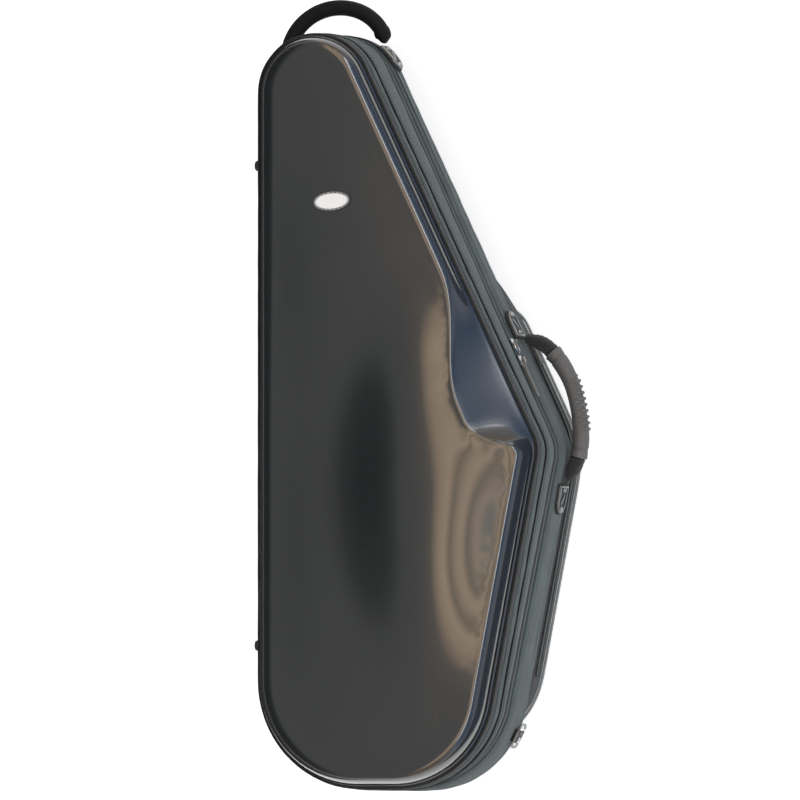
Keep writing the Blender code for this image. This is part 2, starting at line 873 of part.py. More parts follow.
def upright_hoop(name, inset, thickness, low, high, material):
    """A flat-sided hoop inside the walls, between two (height rule, rise) levels."""
    inner = inset + thickness
    section = [(-inset, *high), (-inset, *low), (-inner, *low), (-inner, *high)]
    sweep(name, case_path(), section, material)


def make_hoops_and_linings():
    hoop_inset = BAND_INNER + SEAT_GAP
    lining_inset = hoop_inset + HOOP_THICKNESS + SEAT_GAP
    for half, low, high in (
        ("lid", (split_z, HOOP_SEAM), (rim_z, -SEAT_GAP)),
        ("base", (floor_z, SEAT_GAP), (split_z, -HOOP_SEAM)),
    ):
        upright_hoop(half + "_wall", hoop_inset, HOOP_THICKNESS, low, high, "hoop_foam")
        upright_hoop(half + "_lining", lining_inset, LINING_THICKNESS, low, high, "plush_lining")


def make_back():
    board = slab("back_board", [case_outline(BAND_INNER + SEAT_GAP)], BACK_BOARD_THICKNESS, "back_panel")
    board_z = FLOOR_Z - SEAT_GAP - BACK_BOARD_THICKNESS / 2
    place(board, Matrix.Translation((0, 0, board_z)))
    cover = slab("back_cover", [case_outline(BACK_COVER_INSET)], BACK_COVER_THICKNESS, "pocket_nylon")
    place(cover, Matrix.Translation((0, 0, BACK_Z + BACK_COVER_THICKNESS / 2)))


# Main zip and hinge cloth


def make_zip_half(half, side):
    """One half's zip tape and coil, round the outline except along the spine."""
    near = side * (ZIP_SEAM_GAP + COIL_WIDTH + SEAT_GAP)
    far = side * (ZIP_HALF_WIDTH - SEAT_GAP)
    tape = split_section(-TAPE_THICKNESS / 2, TAPE_THICKNESS / 2, near, far)
    sweep(half + "_zip_tape", case_path(), tape, "zip_cloth", closed=False)
    seam = side * ZIP_SEAM_GAP
    back = side * (ZIP_SEAM_GAP + COIL_WIDTH)
    reach = COIL_HEIGHT / 2
    coil = split_section(-reach, reach, seam, back)
    coil.insert(2, (reach + COIL_CROWN, split_z, (seam + back) / 2))
    sweep(half + "_zip_coil", case_path(), coil, "zip_coil", closed=False)


def make_hinge_cloth(half, side):
    """One half of the cloth hinge, sewn over the band's edge along the straight spine."""
    low = BAND_PROUD + HINGE_LIFT
    rises = (CASE_LENGTH - TOP_RADIUS - HINGE_END_INSET, BOTTOM_SPINE_RADIUS + HINGE_END_INSET)
    path = [(ORIGIN + Vector((0, rise)), Vector((-1, 0))) for rise in rises]
    section = split_section(low, low + HINGE_THICKNESS, side * ZIP_SEAM_GAP, side * HINGE_HALF_WIDTH)
    sweep(half + "_hinge_cloth", path, section, "binding_cloth", closed=False)


def hinge_line():
    """A point on the lid's hinge and its direction, on the outside of the hinge cloth."""
    x = ORIGIN.x - BAND_PROUD - HINGE_LIFT - HINGE_THICKNESS
    return Vector((x, 0, split_z(0))), Vector((0, 1, -SPLIT_SLOPE_SHARE)).normalized()


def slider_frame(rise):
    """Frame of a zip slider on the slanted side: X up the zip, Y across it, Z outward."""
    normal = slanted_normal()
    point = on_side(normal, rise)
    outward = raised(normal, 0)
    run = turned_left(normal)
    along = raised(run, -SPLIT_SLOPE_SHARE * run.y).normalized()
    lift = COIL_HEIGHT / 2 + COIL_CROWN + SEAT_GAP
    spot = raised(point, split_z(point.y)) + outward * lift
    return frame_of(along, outward.cross(along), outward, spot)


def slider_body(name, frame, length, width):
    """A slider's plate with the bridge that its pull hangs from."""
    plate = box(name, (length, width, SLIDER_THICKNESS), "slider_metal")
    place(plate, lifted(frame, SLIDER_THICKNESS / 2))
    half = BRIDGE_LENGTH / 2
    low = SLIDER_THICKNESS - BRIDGE_SINK
    hole_top = SLIDER_THICKNESS + BRIDGE_HOLE
    loops = [
        oblong(-half, half, low - BRIDGE_SINK, hole_top + BRIDGE_WALL),
        oblong(-half + BRIDGE_WALL, half - BRIDGE_WALL, low, hole_top),
    ]
    bridge = slab(name + "_bridge", loops, BRIDGE_WIDTH, "slider_metal", "cutters")
    place(bridge, frame @ Matrix.Rotation(math.pi / 2, 4, "X"))
    return combine(plate, bridge, "UNION")


def pull_frame(frame):
    """The slider's frame, moved to the hinge of its pull."""
    return lifted(frame, SLIDER_THICKNESS + BRIDGE_HOLE / 2)


def ring_pull(name, frame):
    points = []
    for k in range(PULL_RING_POINTS):
        spoke = direction(2 * math.pi * k / PULL_RING_POINTS) * PULL_RING_RADIUS
        points.append(Vector((spoke.x - PULL_RING_RADIUS, spoke.y, 0)))
    return place(tube(name, points, PULL_WIRE, "slider_metal", 1, closed=True), frame)


def tab_pull(name, frame, length, width):
    """A flat pull with an eye that takes the slider's bridge."""
    bar = PULL_TAB_THICKNESS / 2
    half = width / 2
    eye = PULL_EYE_WIDTH / 2
    tip = -length + half
    edge = [(bar, -half), (bar, half), (tip, half), (-length, half / 2), (-length, -half / 2), (tip, -half)]
    hole = oblong(-bar - PULL_EYE_LENGTH, -bar, -eye, eye)
    return place(slab(name, [edge, hole], PULL_TAB_THICKNESS, "slider_metal"), frame)


def make_sliders():
    upper = slider_frame(SLIDER_RISE + SLIDER_SPACING / 2)
    lower = slider_frame(SLIDER_RISE - SLIDER_SPACING / 2)
    ring = ring_pull("zip_pull_upper", pull_frame(upper))
    tab = tab_pull("zip_pull_lower", pull_frame(lower), PULL_TAB_LENGTH, PULL_TAB_WIDTH)
    for name, frame, pull in (("upper", upper, ring), ("lower", lower, tab)):
        body = slider_body("zip_slider_" + name, frame, SLIDER_LENGTH, SLIDER_WIDTH)
        carry("zip_slider_axis_" + name, frame.translation, [body])
        carry("zip_pull_axis_" + name, pull_frame(frame).translation, [pull])


# Foam bed and hold-down strap


def belt(first, second):
    """The outline of a belt round two circles, each (across, rise, radius)."""
    a, b = ORIGIN + Vector(first[:2]), ORIGIN + Vector(second[:2])
    axis = b - a
    facing = math.atan2(axis.y, axis.x)
    lean = math.acos((first[2] - second[2]) / axis.length)
    points = []
    for centre, radius, start, turn in (
        (b, second[2], facing - lean, 2 * lean),
        (a, first[2], facing + lean, 2 * (math.pi - lean)),
    ):
        for k in range(RECESS_STEPS + 1):
            points.append(centre + radius * direction(start + turn * k / RECESS_STEPS))
    return points


def make_foam_bed():
    """The foam block with the saxophone's recess cut down to its floor."""
    outline = case_outline(LINING_INNER + SEAT_GAP)
    low = FLOOR_Z + SEAT_GAP
    shape = bmesh.new()
    rings = [
        [shape.verts.new(raised(spot, low)) for spot in outline],
        [shape.verts.new(raised(spot, split_z(spot.y) - BED_DROP)) for spot in outline],
    ]
    loft(shape, rings, False)
    bed = mesh_object("foam_bed", shape, "plush_lining")
    cuts = (
        (RECESS_NECK, RECESS_TUBE),
        (RECESS_BOW, RECESS_BOTTOM),
        (RECESS_BOTTOM, RECESS_RISE),
        (RECESS_RISE, RECESS_BELL),
    )
    for i, (first, second) in enumerate(cuts):
        cutter = slab(f"recess_cutter_{i}", [belt(first, second)], RECESS_HEIGHT, None, "cutters")
        place(cutter, Matrix.Translation((0, 0, low + BED_FLOOR + RECESS_HEIGHT / 2)))
        combine(bed, cutter, "DIFFERENCE")


def make_hold_strap():
    """The strap over the saxophone's body, with a grip patch on the foam under each end."""
    y = ORIGIN.y + STRAP_RISE
    left = ORIGIN.x + STRAP_START
    right = ORIGIN.x + STRAP_END
    slope = Matrix.Rotation(-math.atan(SPLIT_SLOPE_SHARE), 4, "X")
    frame = Matrix.Translation((0, y, split_z(y) - BED_DROP)) @ slope
    spine_length, side_length = STRAP_PATCH_LENGTHS
    middles = (left + spine_length / 2, right - side_length / 2)
    for name, x, length in zip(STRAP_PATCH_NAMES, middles, STRAP_PATCH_LENGTHS):
        size = (length, STRAP_WIDTH, STRAP_THICKNESS)
        patch = box("hold_strap_patch_" + name, size, "band_cloth")
        place(patch, frame @ Matrix.Translation((x, 0, SEAT_GAP + STRAP_THICKNESS / 2)))
    strap = box("hold_strap", (right - left, STRAP_WIDTH, STRAP_THICKNESS), "binding_cloth")
    lift = 2 * SEAT_GAP + STRAP_THICKNESS + STRAP_THICKNESS / 2
    place(strap, frame @ Matrix.Translation(((left + right) / 2, 0, lift)))


# Pocket


def pocket_outline(drawn_in, top_shift):
    """The pocket's outline, drawn in from its widest, with its top edge moved down."""
    slanted, lower = slanted_normal(), lower_normal()
    shoulder = case_corners()[SHOULDER_INDEX]
    on_slanted = shoulder - slanted * POCKET_SIDE_INSET
    on_lower = shoulder - lower * POCKET_SIDE_INSET
    low = ORIGIN + Vector((POCKET_SPINE_INSET, POCKET_BOTTOM))
    high = ORIGIN + Vector((POCKET_SPINE_INSET, POCKET_TOP - top_shift))
    corners = [
        low,
        meet(low, Vector((0, 1)), on_lower, lower),
        meet(on_lower, lower, on_slanted, slanted),
        meet(high, Vector((0, 1)), on_slanted, slanted),
        high,
    ]
    radii = (POCKET_CORNER, POCKET_CORNER, POCKET_SHOULDER, POCKET_TOP_CORNER, POCKET_TOP_CORNER)
    path = rounded_path(corners, radii, POCKET_STEPS)
    return [(point - normal * drawn_in, normal) for point, normal in path]


def pocket_levels():
    """Levels of the pocket, downward: (height, how far drawn in, how far its top edge moves)."""
    top = BACK_Z - SEAT_GAP
    levels = [(top, POCKET_SEAM_INSET, 0)]
    for share in (POCKET_UPPER_SHARE, POCKET_MIDDLE_SHARE):
        levels.append((top * share, 0, POCKET_TOP_SLANT * (1 - share)))
    fold = POCKET_TOP_SLANT * (1 - POCKET_ROUND / top)
    levels.append((POCKET_ROUND, POCKET_BULGE, fold))
    edge = POCKET_ROUND * POCKET_EDGE_SHARE
    levels.append((edge, edge, fold + POCKET_ROUND - edge))
    levels.append((0, POCKET_ROUND, fold + POCKET_ROUND))
    return levels


def make_pocket_body():
    shape = bmesh.new()
    rings = []
    for z, drawn_in, shift in pocket_levels():
        rings.append([shape.verts.new(raised(point, z)) for point, _ in pocket_outline(drawn_in, shift)])
    loft(shape, rings, False)
    smooth(mesh_object("pocket_body", shape, "pocket_nylon"))


def pocket_at(z):
    """The pocket's outline at a height, read between its levels."""
    levels = pocket_levels()
    for (high, in_high, shift_high), (low, in_low, shift_low) in zip(levels, levels[1:]):
        if low <= z <= high:
            share = (high - z) / (high - low)
            return pocket_outline(mix(in_high, in_low, share), mix(shift_high, shift_low, share))
    return pocket_outline(*levels[0][1:])


def make_pocket_piping():
    """The cord round the pocket's lower edge, square to the sloping wall that it lies on."""
    z = POCKET_ROUND
    offset = POCKET_PIPING_RADIUS + SEAT_GAP
    points = []
    for (point, normal), (above, _), (below, _) in zip(
        pocket_at(z), pocket_at(z + SKIN_STEP), pocket_at(z - SKIN_STEP)
    ):
        lean = (above - below).dot(normal) / (2 * SKIN_STEP)
        points.append(raised(point, z) + raised(normal, -lean).normalized() * offset)
    tube("pocket_piping", points, POCKET_PIPING_RADIUS, "piping", 1, closed=True)


def make_pocket_zip():
    """The zip in the pocket's gusset, round the shoulder on the bell side."""
    slanted, lower = slanted_normal(), lower_normal()
    start = (on_side(lower, POCKET_ZIP_LOW) - lower * POCKET_SIDE_INSET, lower)
    end = (on_side(slanted, POCKET_ZIP_HIGH) - slanted * POCKET_SIDE_INSET, slanted)
    skip = sum(POCKET_STEPS[:SHOULDER_INDEX]) + SHOULDER_INDEX
    shoulder = pocket_at(POCKET_ZIP_LIFT)[skip:skip + POCKET_STEPS[SHOULDER_INDEX] + 1]
    stations = []
    for point, normal in (start, *shoulder, end):
        stations.append((raised(point, POCKET_ZIP_LIFT), raised(normal, 0), POCKET_ZIP_HALF_WIDTH))
    ribbon("pocket_zip", stations, SEAT_GAP, SEAT_GAP + TAPE_THICKNESS, "zip_cloth")


def pocket_slider_frame():
    normal = slanted_normal()
    lift = TAPE_THICKNESS + 2 * SEAT_GAP
    point = on_side(normal, POCKET_SLIDER_RISE) - normal * (POCKET_SIDE_INSET - lift)
    outward = raised(normal, 0)
    along = raised(turned_left(normal), 0)
    return frame_of(along, outward.cross(along), outward, raised(point, POCKET_ZIP_LIFT))


def make_pocket_slider():
    frame = pocket_slider_frame()
    hinge = pull_frame(frame)
    body = slider_body("pocket_slider", frame, POCKET_SLIDER_LENGTH, POCKET_SLIDER_WIDTH)
    pull = tab_pull("pocket_pull", hinge, POCKET_PULL_LENGTH, POCKET_PULL_WIDTH)
    carry("pocket_slider_axis", frame.translation, [body])
    carry("pocket_pull_axis", hinge.translation, [pull])


# Handles


def straight_rule(normal, rise):
    """A rule for points along a straight side, by distance up from a rise on it."""
    base = on_side(normal, rise)
    return lambda run: (base + turned_left(normal) * run, normal)


def arc_rule(angle):
    """A rule for points along the top arc, by distance anticlockwise from an angle on it."""
    centre = arc_centre(TOP_INDEX)

    def spot(run):
        normal = direction(angle + run / (TOP_RADIUS + BAND_PROUD))
        return centre + normal * TOP_RADIUS, normal

    return spot


def plate_stations(rule, z, width, facing, grow):
    """Stations of a plate whose round end faces up (1) or down (-1) the rule."""
    half = width / 2 + grow
    reach = PLATE_LENGTH / 2 + grow
    bend = reach - half
    spread = [(mix(-reach, bend, k / 2), half) for k in range(3)]
    for k in range(1, PLATE_STEPS + 1):
        turn = direction(PLATE_TURN * k / PLATE_STEPS)
        spread.append((bend + half * turn.y, half * turn.x))
    stations = []
    for run, half_width in spread:
        point, normal = rule(run * facing)
        stations.append((raised(point, z), raised(normal, 0), half_width))
    return stations


def make_plate(name, rule, z, width, facing):
    """A handle's plate with its two rivet heads, on its pad."""
    pad = plate_stations(rule, z, width, facing, PAD_MARGIN)
    ribbon(name + "_pad", pad, PAD_LOW, PAD_LOW + PAD_THICKNESS, "pad_rubber")
    plate = plate_stations(rule, z, width, facing, 0)
    body = ribbon(name, plate, PLATE_LOW, PLATE_TOP, "plate_metal")
    profile = [
        (0, RIVET_HEIGHT),
        (RIVET_RADIUS / 2, RIVET_HEIGHT),
        (RIVET_RADIUS, 0),
        (RIVET_RADIUS, -RIVET_SINK),
        (0, -RIVET_SINK),
    ]
    for side in (-1, 1):
        point, normal = rule(side * PLATE_LENGTH * RIVET_SHARE)
        rivet = turned(name + "_rivet", profile, RIVET_SIDES, "plate_metal", "cutters")
        place(rivet, lifted(wall_frame(point, z, normal), PLATE_TOP))
        combine(body, rivet, "UNION")


def make_plates():
    away = PLATE_LENGTH / 2 / (TOP_RADIUS + BAND_PROUD) + ROOT_STEP / (TOP_RADIUS + ROOT_LIFT)
    side_end, spine_end = TOP_ANGLES
    slanted, lower = slanted_normal(), lower_normal()
    reach = PLATE_LENGTH / 2 + ROOT_STEP
    upper_rise = SIDE_ROOT_RISES[0] + reach * slanted.x
    lower_rise = SIDE_ROOT_RISES[1] - reach * lower.x
    for name, rule, facing in (
        ("top_plate_side", arc_rule(side_end - away), -1),
        ("top_plate_spine", arc_rule(spine_end + away), 1),
    ):
        make_plate(name, rule, TOP_HANDLE_Z, TOP_PLATE_WIDTH, facing)
    for name, rule, facing in (
        ("side_plate_upper", straight_rule(slanted, upper_rise), 1),
        ("side_plate_lower", straight_rule(lower, lower_rise), -1),
    ):
        make_plate(name, rule, SIDE_HANDLE_Z, SIDE_PLATE_WIDTH, facing)


def knuckle(name, point, material):
    """The round end of a handle's tab, whose middle lies on the handle's axis."""
    shape = bmesh.new()
    bmesh.ops.create_uvsphere(
        shape, u_segments=KNUCKLE_SIDES, v_segments=KNUCKLE_RINGS, radius=KNUCKLE_RADIUS
    )
    data = bpy.data.meshes.new(name)
    shape.to_mesh(data)
    shape.free()
    return place(link(name, data, material, "cutters"), Matrix.Translation(point))


def link_tab(name, root, end, width, material):
    """A flat strap end from the knuckle at a handle's root to the end of its grip."""
    run = end - root
    length = run.length - TAB_START - TAB_GAP
    middle = root + run.normalized() * (TAB_START + length / 2)
    tab = box(name, (length, TAB_THICKNESS, width), material)
    place(tab, Matrix.Translation(middle) @ Matrix.Rotation(math.atan2(run.y, run.x), 4, "Z"))
    return combine(tab, knuckle(name + "_knuckle", root, material), "UNION")


def top_handle_point(share):
    """A point of the top handle's centreline, an arch over the top arc."""
    angle = mix(*TOP_ANGLES, share)
    rise = TOP_ARCH_RISE * max(0.0, math.sin(math.pi * share)) ** TOP_ARCH_SHARE
    spot = arc_centre(TOP_INDEX) + direction(angle) * (TOP_RADIUS + ROOT_LIFT + rise)
    return raised(spot, TOP_HANDLE_Z)


def make_top_handle():
    points = [top_handle_point(share) for share in square_shares(*TOP_GRIP_SHARES, TOP_GRIP_POINTS)]
    pieces = [tube("top_handle_grip", points, TOP_GRIP_RADIUS, "handle_leather", 3)]
    for name, root, end in (("side", 0, points[0]), ("spine", 1, points[-1])):
        start = top_handle_point(root)
        pieces.append(link_tab("top_handle_tab_" + name, start, end, TAB_WIDTH, "handle_leather"))
    carry("top_handle_axis", top_handle_point(0), pieces)


def beside_shoulder(lift, reach):
    """A point that is out of the side over the shoulder, or of the side under it."""
    normal = slanted_normal() if lift > 0 else lower_normal()
    return on_side(normal, SHOULDER_RISE + lift) + normal * reach


def side_handle_route():
    roots = [beside_shoulder(lift, ROOT_LIFT) for lift in SIDE_ROOT_LIFTS]
    spots = [beside_shoulder(*spot) for spot in SIDE_HANDLE_ROUTE]
    points = [raised(spot, SIDE_HANDLE_Z) for spot in (roots[0], *spots, roots[1])]
    return smooth_route(points, ROUTE_STEPS)


def make_sleeve(name, route, end_share, grip_share):
    """A fabric sleeve, which narrows from the grip toward the plate."""
    shares = square_shares(end_share, grip_share, SLEEVE_POINTS)
    points = [along_route(route, share) for share in shares]
    radii = []
    for share in shares:
        widening = (share - end_share) / (grip_share - end_share) / SLEEVE_TAPER_SHARE
        radii.append(mix(SLEEVE_END_RADIUS, SLEEVE_RADIUS, min(1, widening)))
    return tube(name, points, SLEEVE_RADIUS, "sleeve_cloth", 3, radii=radii)


def make_side_handle():
    route = side_handle_route()
    strap_low, strap_high = SIDE_STRAP_SHARES
    grip_low, grip_high = SIDE_GRIP_SHARES
    seam = SEAT_GAP / route_length(route)
    shares = square_shares(grip_low + seam, grip_high - seam, SIDE_GRIP_POINTS)
    points = [along_route(route, share) for share in shares]
    pieces = [
        tube("side_handle_grip", points, SIDE_GRIP_RADIUS, "grip_rubber", 3),
        make_sleeve("side_sleeve_upper", route, strap_low, grip_low - seam),
        make_sleeve("side_sleeve_lower", route, strap_high, grip_high + seam),
    ]
    for name, root, share in (("upper", route[0], strap_low), ("lower", route[-1], strap_high)):
        end = along_route(route, share)
        pieces.append(link_tab("side_handle_tab_" + name, root, end, SIDE_STRAP_WIDTH, "sleeve_cloth"))
    carry("side_handle_axis", route[0], pieces)


# Feet, strap ring and badge


def make_foot(half, name, rise, z, surface):
    """A rubber foot on the spine wall, and its screw in the foot's hollow."""
    bottom = FOOT_HEIGHT - FOOT_HOLE_DEPTH
    profile = [
        (0, bottom),
        (FOOT_HOLE, bottom),
        (FOOT_HOLE, FOOT_HEIGHT),
        (FOOT_CROWN, FOOT_HEIGHT),
        (FOOT_SHOULDER, FOOT_SHOULDER_HEIGHT),
        (FOOT_RADIUS, FOOT_SIDE_HEIGHT),
        (FOOT_RADIUS, 0),
        (0, 0),
    ]
    frame = wall_frame(ORIGIN + Vector((0, rise)), z, Vector((-1, 0)))
    foot = turned(f"{half}_foot_{name}", profile, FOOT_SIDES, "foot_rubber")
    place(foot, lifted(frame, surface + SEAT_GAP))
    top, wide = FOOT_SCREW_HEIGHT, FOOT_SCREW_RADIUS
    head = [(0, top), (wide / 2, top), (wide, top / 2), (wide, 0), (0, 0)]
    screw = turned(f"{half}_foot_screw_{name}", head, FOOT_SIDES, "screw_steel")
    place(screw, lifted(frame, surface + bottom + 2 * SEAT_GAP))


def make_feet():
    for half, z, surface in (
        ("lid", RIM_Z - FOOT_LID_DROP, BAND_PROUD),
        ("base", BACK_Z + FOOT_BASE_LIFT, SURFACE),
    ):
        for name, rise in zip(FOOT_NAMES, FOOT_RISES):
            make_foot(half, name, rise, z, surface)


def clip_outline():
    """Side view of the strap ring's clip: a flat with a rolled eye at its upper end."""
    outer = STRAP_CLIP_BORE + STRAP_CLIP_WALL
    meeting = math.pi + math.asin((outer - STRAP_CLIP_THICKNESS) / outer)
    points = [(-STRAP_CLIP_LENGTH, 0)]
    for k in range(STRAP_CLIP_STEPS + 1):
        spoke = direction(mix(-math.pi / 2, meeting, k / STRAP_CLIP_STEPS)) * outer
        points.append((spoke.x, spoke.y + outer))
    return points + [(-STRAP_CLIP_LENGTH, STRAP_CLIP_THICKNESS)]


def strap_clip_frame():
    """Frame of the strap ring's eye: X up, Y outward, Z along the outline."""
    normal = direction(STRAP_RING_ANGLE)
    point = arc_centre(BOTTOM_SIDE_INDEX) + normal * (BOTTOM_SIDE_RADIUS + SURFACE + SEAT_GAP)
    spot = raised(point, BACK_Z + STRAP_CLIP_LIFT + STRAP_CLIP_LENGTH)
    return frame_of(UP, raised(normal, 0), raised(turned_left(normal), 0), spot)


def strap_ring_point():
    """The strap ring's hinge, at the middle of its clip's eye."""
    return strap_clip_frame() @ Vector((0, STRAP_CLIP_BORE + STRAP_CLIP_WALL, 0))


def make_strap_ring():
    frame = strap_clip_frame()
    lift = STRAP_CLIP_BORE + STRAP_CLIP_WALL
    eye = []
    for k in range(STRAP_CLIP_STEPS):
        spoke = direction(2 * math.pi * k / STRAP_CLIP_STEPS) * STRAP_CLIP_BORE
        eye.append((spoke.x, spoke.y + lift))
    place(slab("strap_ring_clip", [clip_outline(), eye], STRAP_CLIP_WIDTH, "plate_metal"), frame)
    half = STRAP_RING_WIDTH / 2
    corners = [Vector(spot) for spot in oblong(-STRAP_RING_LENGTH, 0, -half, half)]
    path = rounded_path(corners, [STRAP_RING_CORNER] * 4, [STRAP_RING_STEPS] * 4)
    points = [Vector((spot.x, lift, spot.y)) for spot, _ in path]
    ring = place(tube("strap_ring", points, STRAP_RING_WIRE, "plate_metal", 2, closed=True), frame)
    carry("strap_ring_axis", strap_ring_point(), [ring])


def badge_loop(long_half, short_half):
    points = []
    for k in range(BADGE_POINTS):
        spoke = direction(2 * math.pi * k / BADGE_POINTS)
        points.append((spoke.x * long_half, spoke.y * short_half))
    return points


def badge_frame(tree):
    """Frame of the badge on the shell's curve: X along the badge, Z out of the shell."""
    above = raised(ORIGIN + Vector(BADGE_CENTRE), DROP_HEIGHT)
    spot, outward = tree.ray_cast(above, -UP)[:2]
    across = outward.cross(raised(direction(BADGE_TURN), 0)).normalized()
    frame = frame_of(across.cross(outward), across, outward, spot)
    reach = 2 * (BADGE_WIRE + SEAT_GAP)
    lift = 0.0
    for x, y in badge_loop(BADGE_HALF_LENGTH + reach, BADGE_HALF_WIDTH + reach):
        start = raised((frame @ Vector((x, y, 0))), DROP_HEIGHT)
        under = tree.ray_cast(start, -UP)[0]
        lift = max(lift, (under - spot).dot(outward))
    return lifted(frame, lift + SEAT_GAP)


def make_badge(shell):
    """The bare oval plate and the wire rim round it."""
    bpy.context.view_layer.update()
    frame = badge_frame(BVHTree.FromObject(shell, bpy.context.evaluated_depsgraph_get()))
    edge = badge_loop(BADGE_HALF_LENGTH, BADGE_HALF_WIDTH)
    place(slab("badge_plate", [edge], BADGE_THICKNESS, "badge_plate"), lifted(frame, BADGE_THICKNESS / 2))
    rim = BADGE_WIRE + SEAT_GAP
    points = [Vector((*spot, 0)) for spot in badge_loop(BADGE_HALF_LENGTH + rim, BADGE_HALF_WIDTH + rim)]
    wire = tube("badge_rim", points, BADGE_WIRE, "badge_plate", 1, closed=True)
    place(wire, lifted(frame, BADGE_WIRE))


def carry_lid():
    pieces = [obj for obj in COLLECTIONS["parts"].objects if obj.name.startswith(("lid_", "badge_"))]
    carry("hinge_axis", hinge_line()[0], pieces)


def main():
    clear_scene()
    make_collection("parts", "tenor_saxophone_case")
    make_collection("cutters", "cutters")
    make_materials()
    make_badge(make_shell())
    make_lid_binding()
    make_lid_band()
    make_lid_welt()
    make_base_band()
    make_back_piping()
    make_hoops_and_linings()
    make_back()
    for half, side in (("lid", 1), ("base", -1)):
        make_zip_half(half, side)
        make_hinge_cloth(half, side)
    make_sliders()
    make_foam_bed()
    make_hold_strap()
    make_pocket_body()
    make_pocket_piping()
    make_pocket_zip()
    make_pocket_slider()
    make_plates()
    make_top_handle()
    make_side_handle()
    make_feet()
    make_strap_ring()
    carry_lid()


main()
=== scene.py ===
"""Looks of the tenor saxophone case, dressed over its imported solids.

Lengths are metres in the case's frame: X from the straight spine to the bell side, Y toward the
top handle, Z up out of the lid. The origin is on the floor under the middle of the case.
"""

import math

import bmesh
import bpy
import numpy as np
from mathutils import Matrix, Vector, noise
from mathutils.geometry import delaunay_2d_cdt


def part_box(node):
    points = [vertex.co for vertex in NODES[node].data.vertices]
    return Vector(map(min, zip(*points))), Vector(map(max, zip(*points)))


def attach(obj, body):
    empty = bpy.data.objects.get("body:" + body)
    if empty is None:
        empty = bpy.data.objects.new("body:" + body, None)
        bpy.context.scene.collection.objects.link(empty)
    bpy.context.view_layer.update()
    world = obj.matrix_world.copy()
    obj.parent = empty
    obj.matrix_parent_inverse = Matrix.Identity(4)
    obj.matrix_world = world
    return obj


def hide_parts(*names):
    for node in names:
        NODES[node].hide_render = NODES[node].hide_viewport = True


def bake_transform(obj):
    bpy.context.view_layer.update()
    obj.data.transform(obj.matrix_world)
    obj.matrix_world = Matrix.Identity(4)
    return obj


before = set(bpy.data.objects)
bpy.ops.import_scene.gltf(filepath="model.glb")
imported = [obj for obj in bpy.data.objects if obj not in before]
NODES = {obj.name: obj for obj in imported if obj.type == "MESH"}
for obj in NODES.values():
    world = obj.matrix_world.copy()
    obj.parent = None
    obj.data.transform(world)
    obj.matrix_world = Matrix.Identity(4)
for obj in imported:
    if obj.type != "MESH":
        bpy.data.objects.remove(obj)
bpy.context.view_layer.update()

# Outline and heights of the case, as in its solids
CASE_LENGTH = 0.834
SHOULDER_WIDTH = 0.324
SHOULDER_RISE = 0.376
BOTTOM_WIDTH = 0.252
TOP_RADIUS = 0.064
SHOULDER_RADIUS = 0.045
BOTTOM_SIDE_RADIUS = 0.110
BOTTOM_SPINE_RADIUS = 0.118
CORNER_RADII = (BOTTOM_SPINE_RADIUS, BOTTOM_SIDE_RADIUS, SHOULDER_RADIUS, TOP_RADIUS)
FINE_STEPS = (20, 20, 10, 32)
PATH_STEP = 0.010
BACK_Z = 0.046
RIM_Z = 0.168
SPLIT_Z = 0.099
SPLIT_SLOPE = 0.037
BAND_PROUD = 0.0030
BAND_BULGE = 0.0012
SURFACE = BAND_PROUD + BAND_BULGE
GAP = 0.0003
ORIGIN = Vector((-SHOULDER_WIDTH / 2, -CASE_LENGTH / 2))
UP = Vector((0, 0, 1))

# Plates and handles
PAD_LOW = SURFACE + GAP
PAD_THICKNESS = 0.0022
PLATE_LOW = PAD_LOW + PAD_THICKNESS + GAP
PLATE_THICKNESS = 0.0020
PLATE_LENGTH = 0.031
PAD_MARGIN = 0.0020
KNUCKLE_RADIUS = 0.0024
ROOT_LIFT = PLATE_LOW + KNUCKLE_RADIUS
ROOT_STEP = KNUCKLE_RADIUS + GAP
RIVET_SHARE = 0.26
RIVET_RADIUS = 0.0030
TOP_PLATE_WIDTH = 0.022
SIDE_PLATE_WIDTH = 0.026
TOP_HANDLE_Z = BACK_Z + 0.0155
SIDE_HANDLE_Z = BACK_Z + 0.024
TOP_ANGLES = (math.radians(54), math.radians(151))
TOP_ARCH_RISE = 0.0275
TOP_ARCH_SHARE = 0.6
TOP_GRIP_RADIUS = 0.0088
SIDE_ROOT_LIFTS = (0.1190, -0.0380)
SIDE_HANDLE_ROUTE = ((0.0989, 0.0304), (0.0615, 0.0383), (0.0192, 0.0296), (-0.0027, 0.0173))
SIDE_GRIP_SHARES = (0.200, 0.835)
SIDE_GRIP_RADIUS = 0.0098

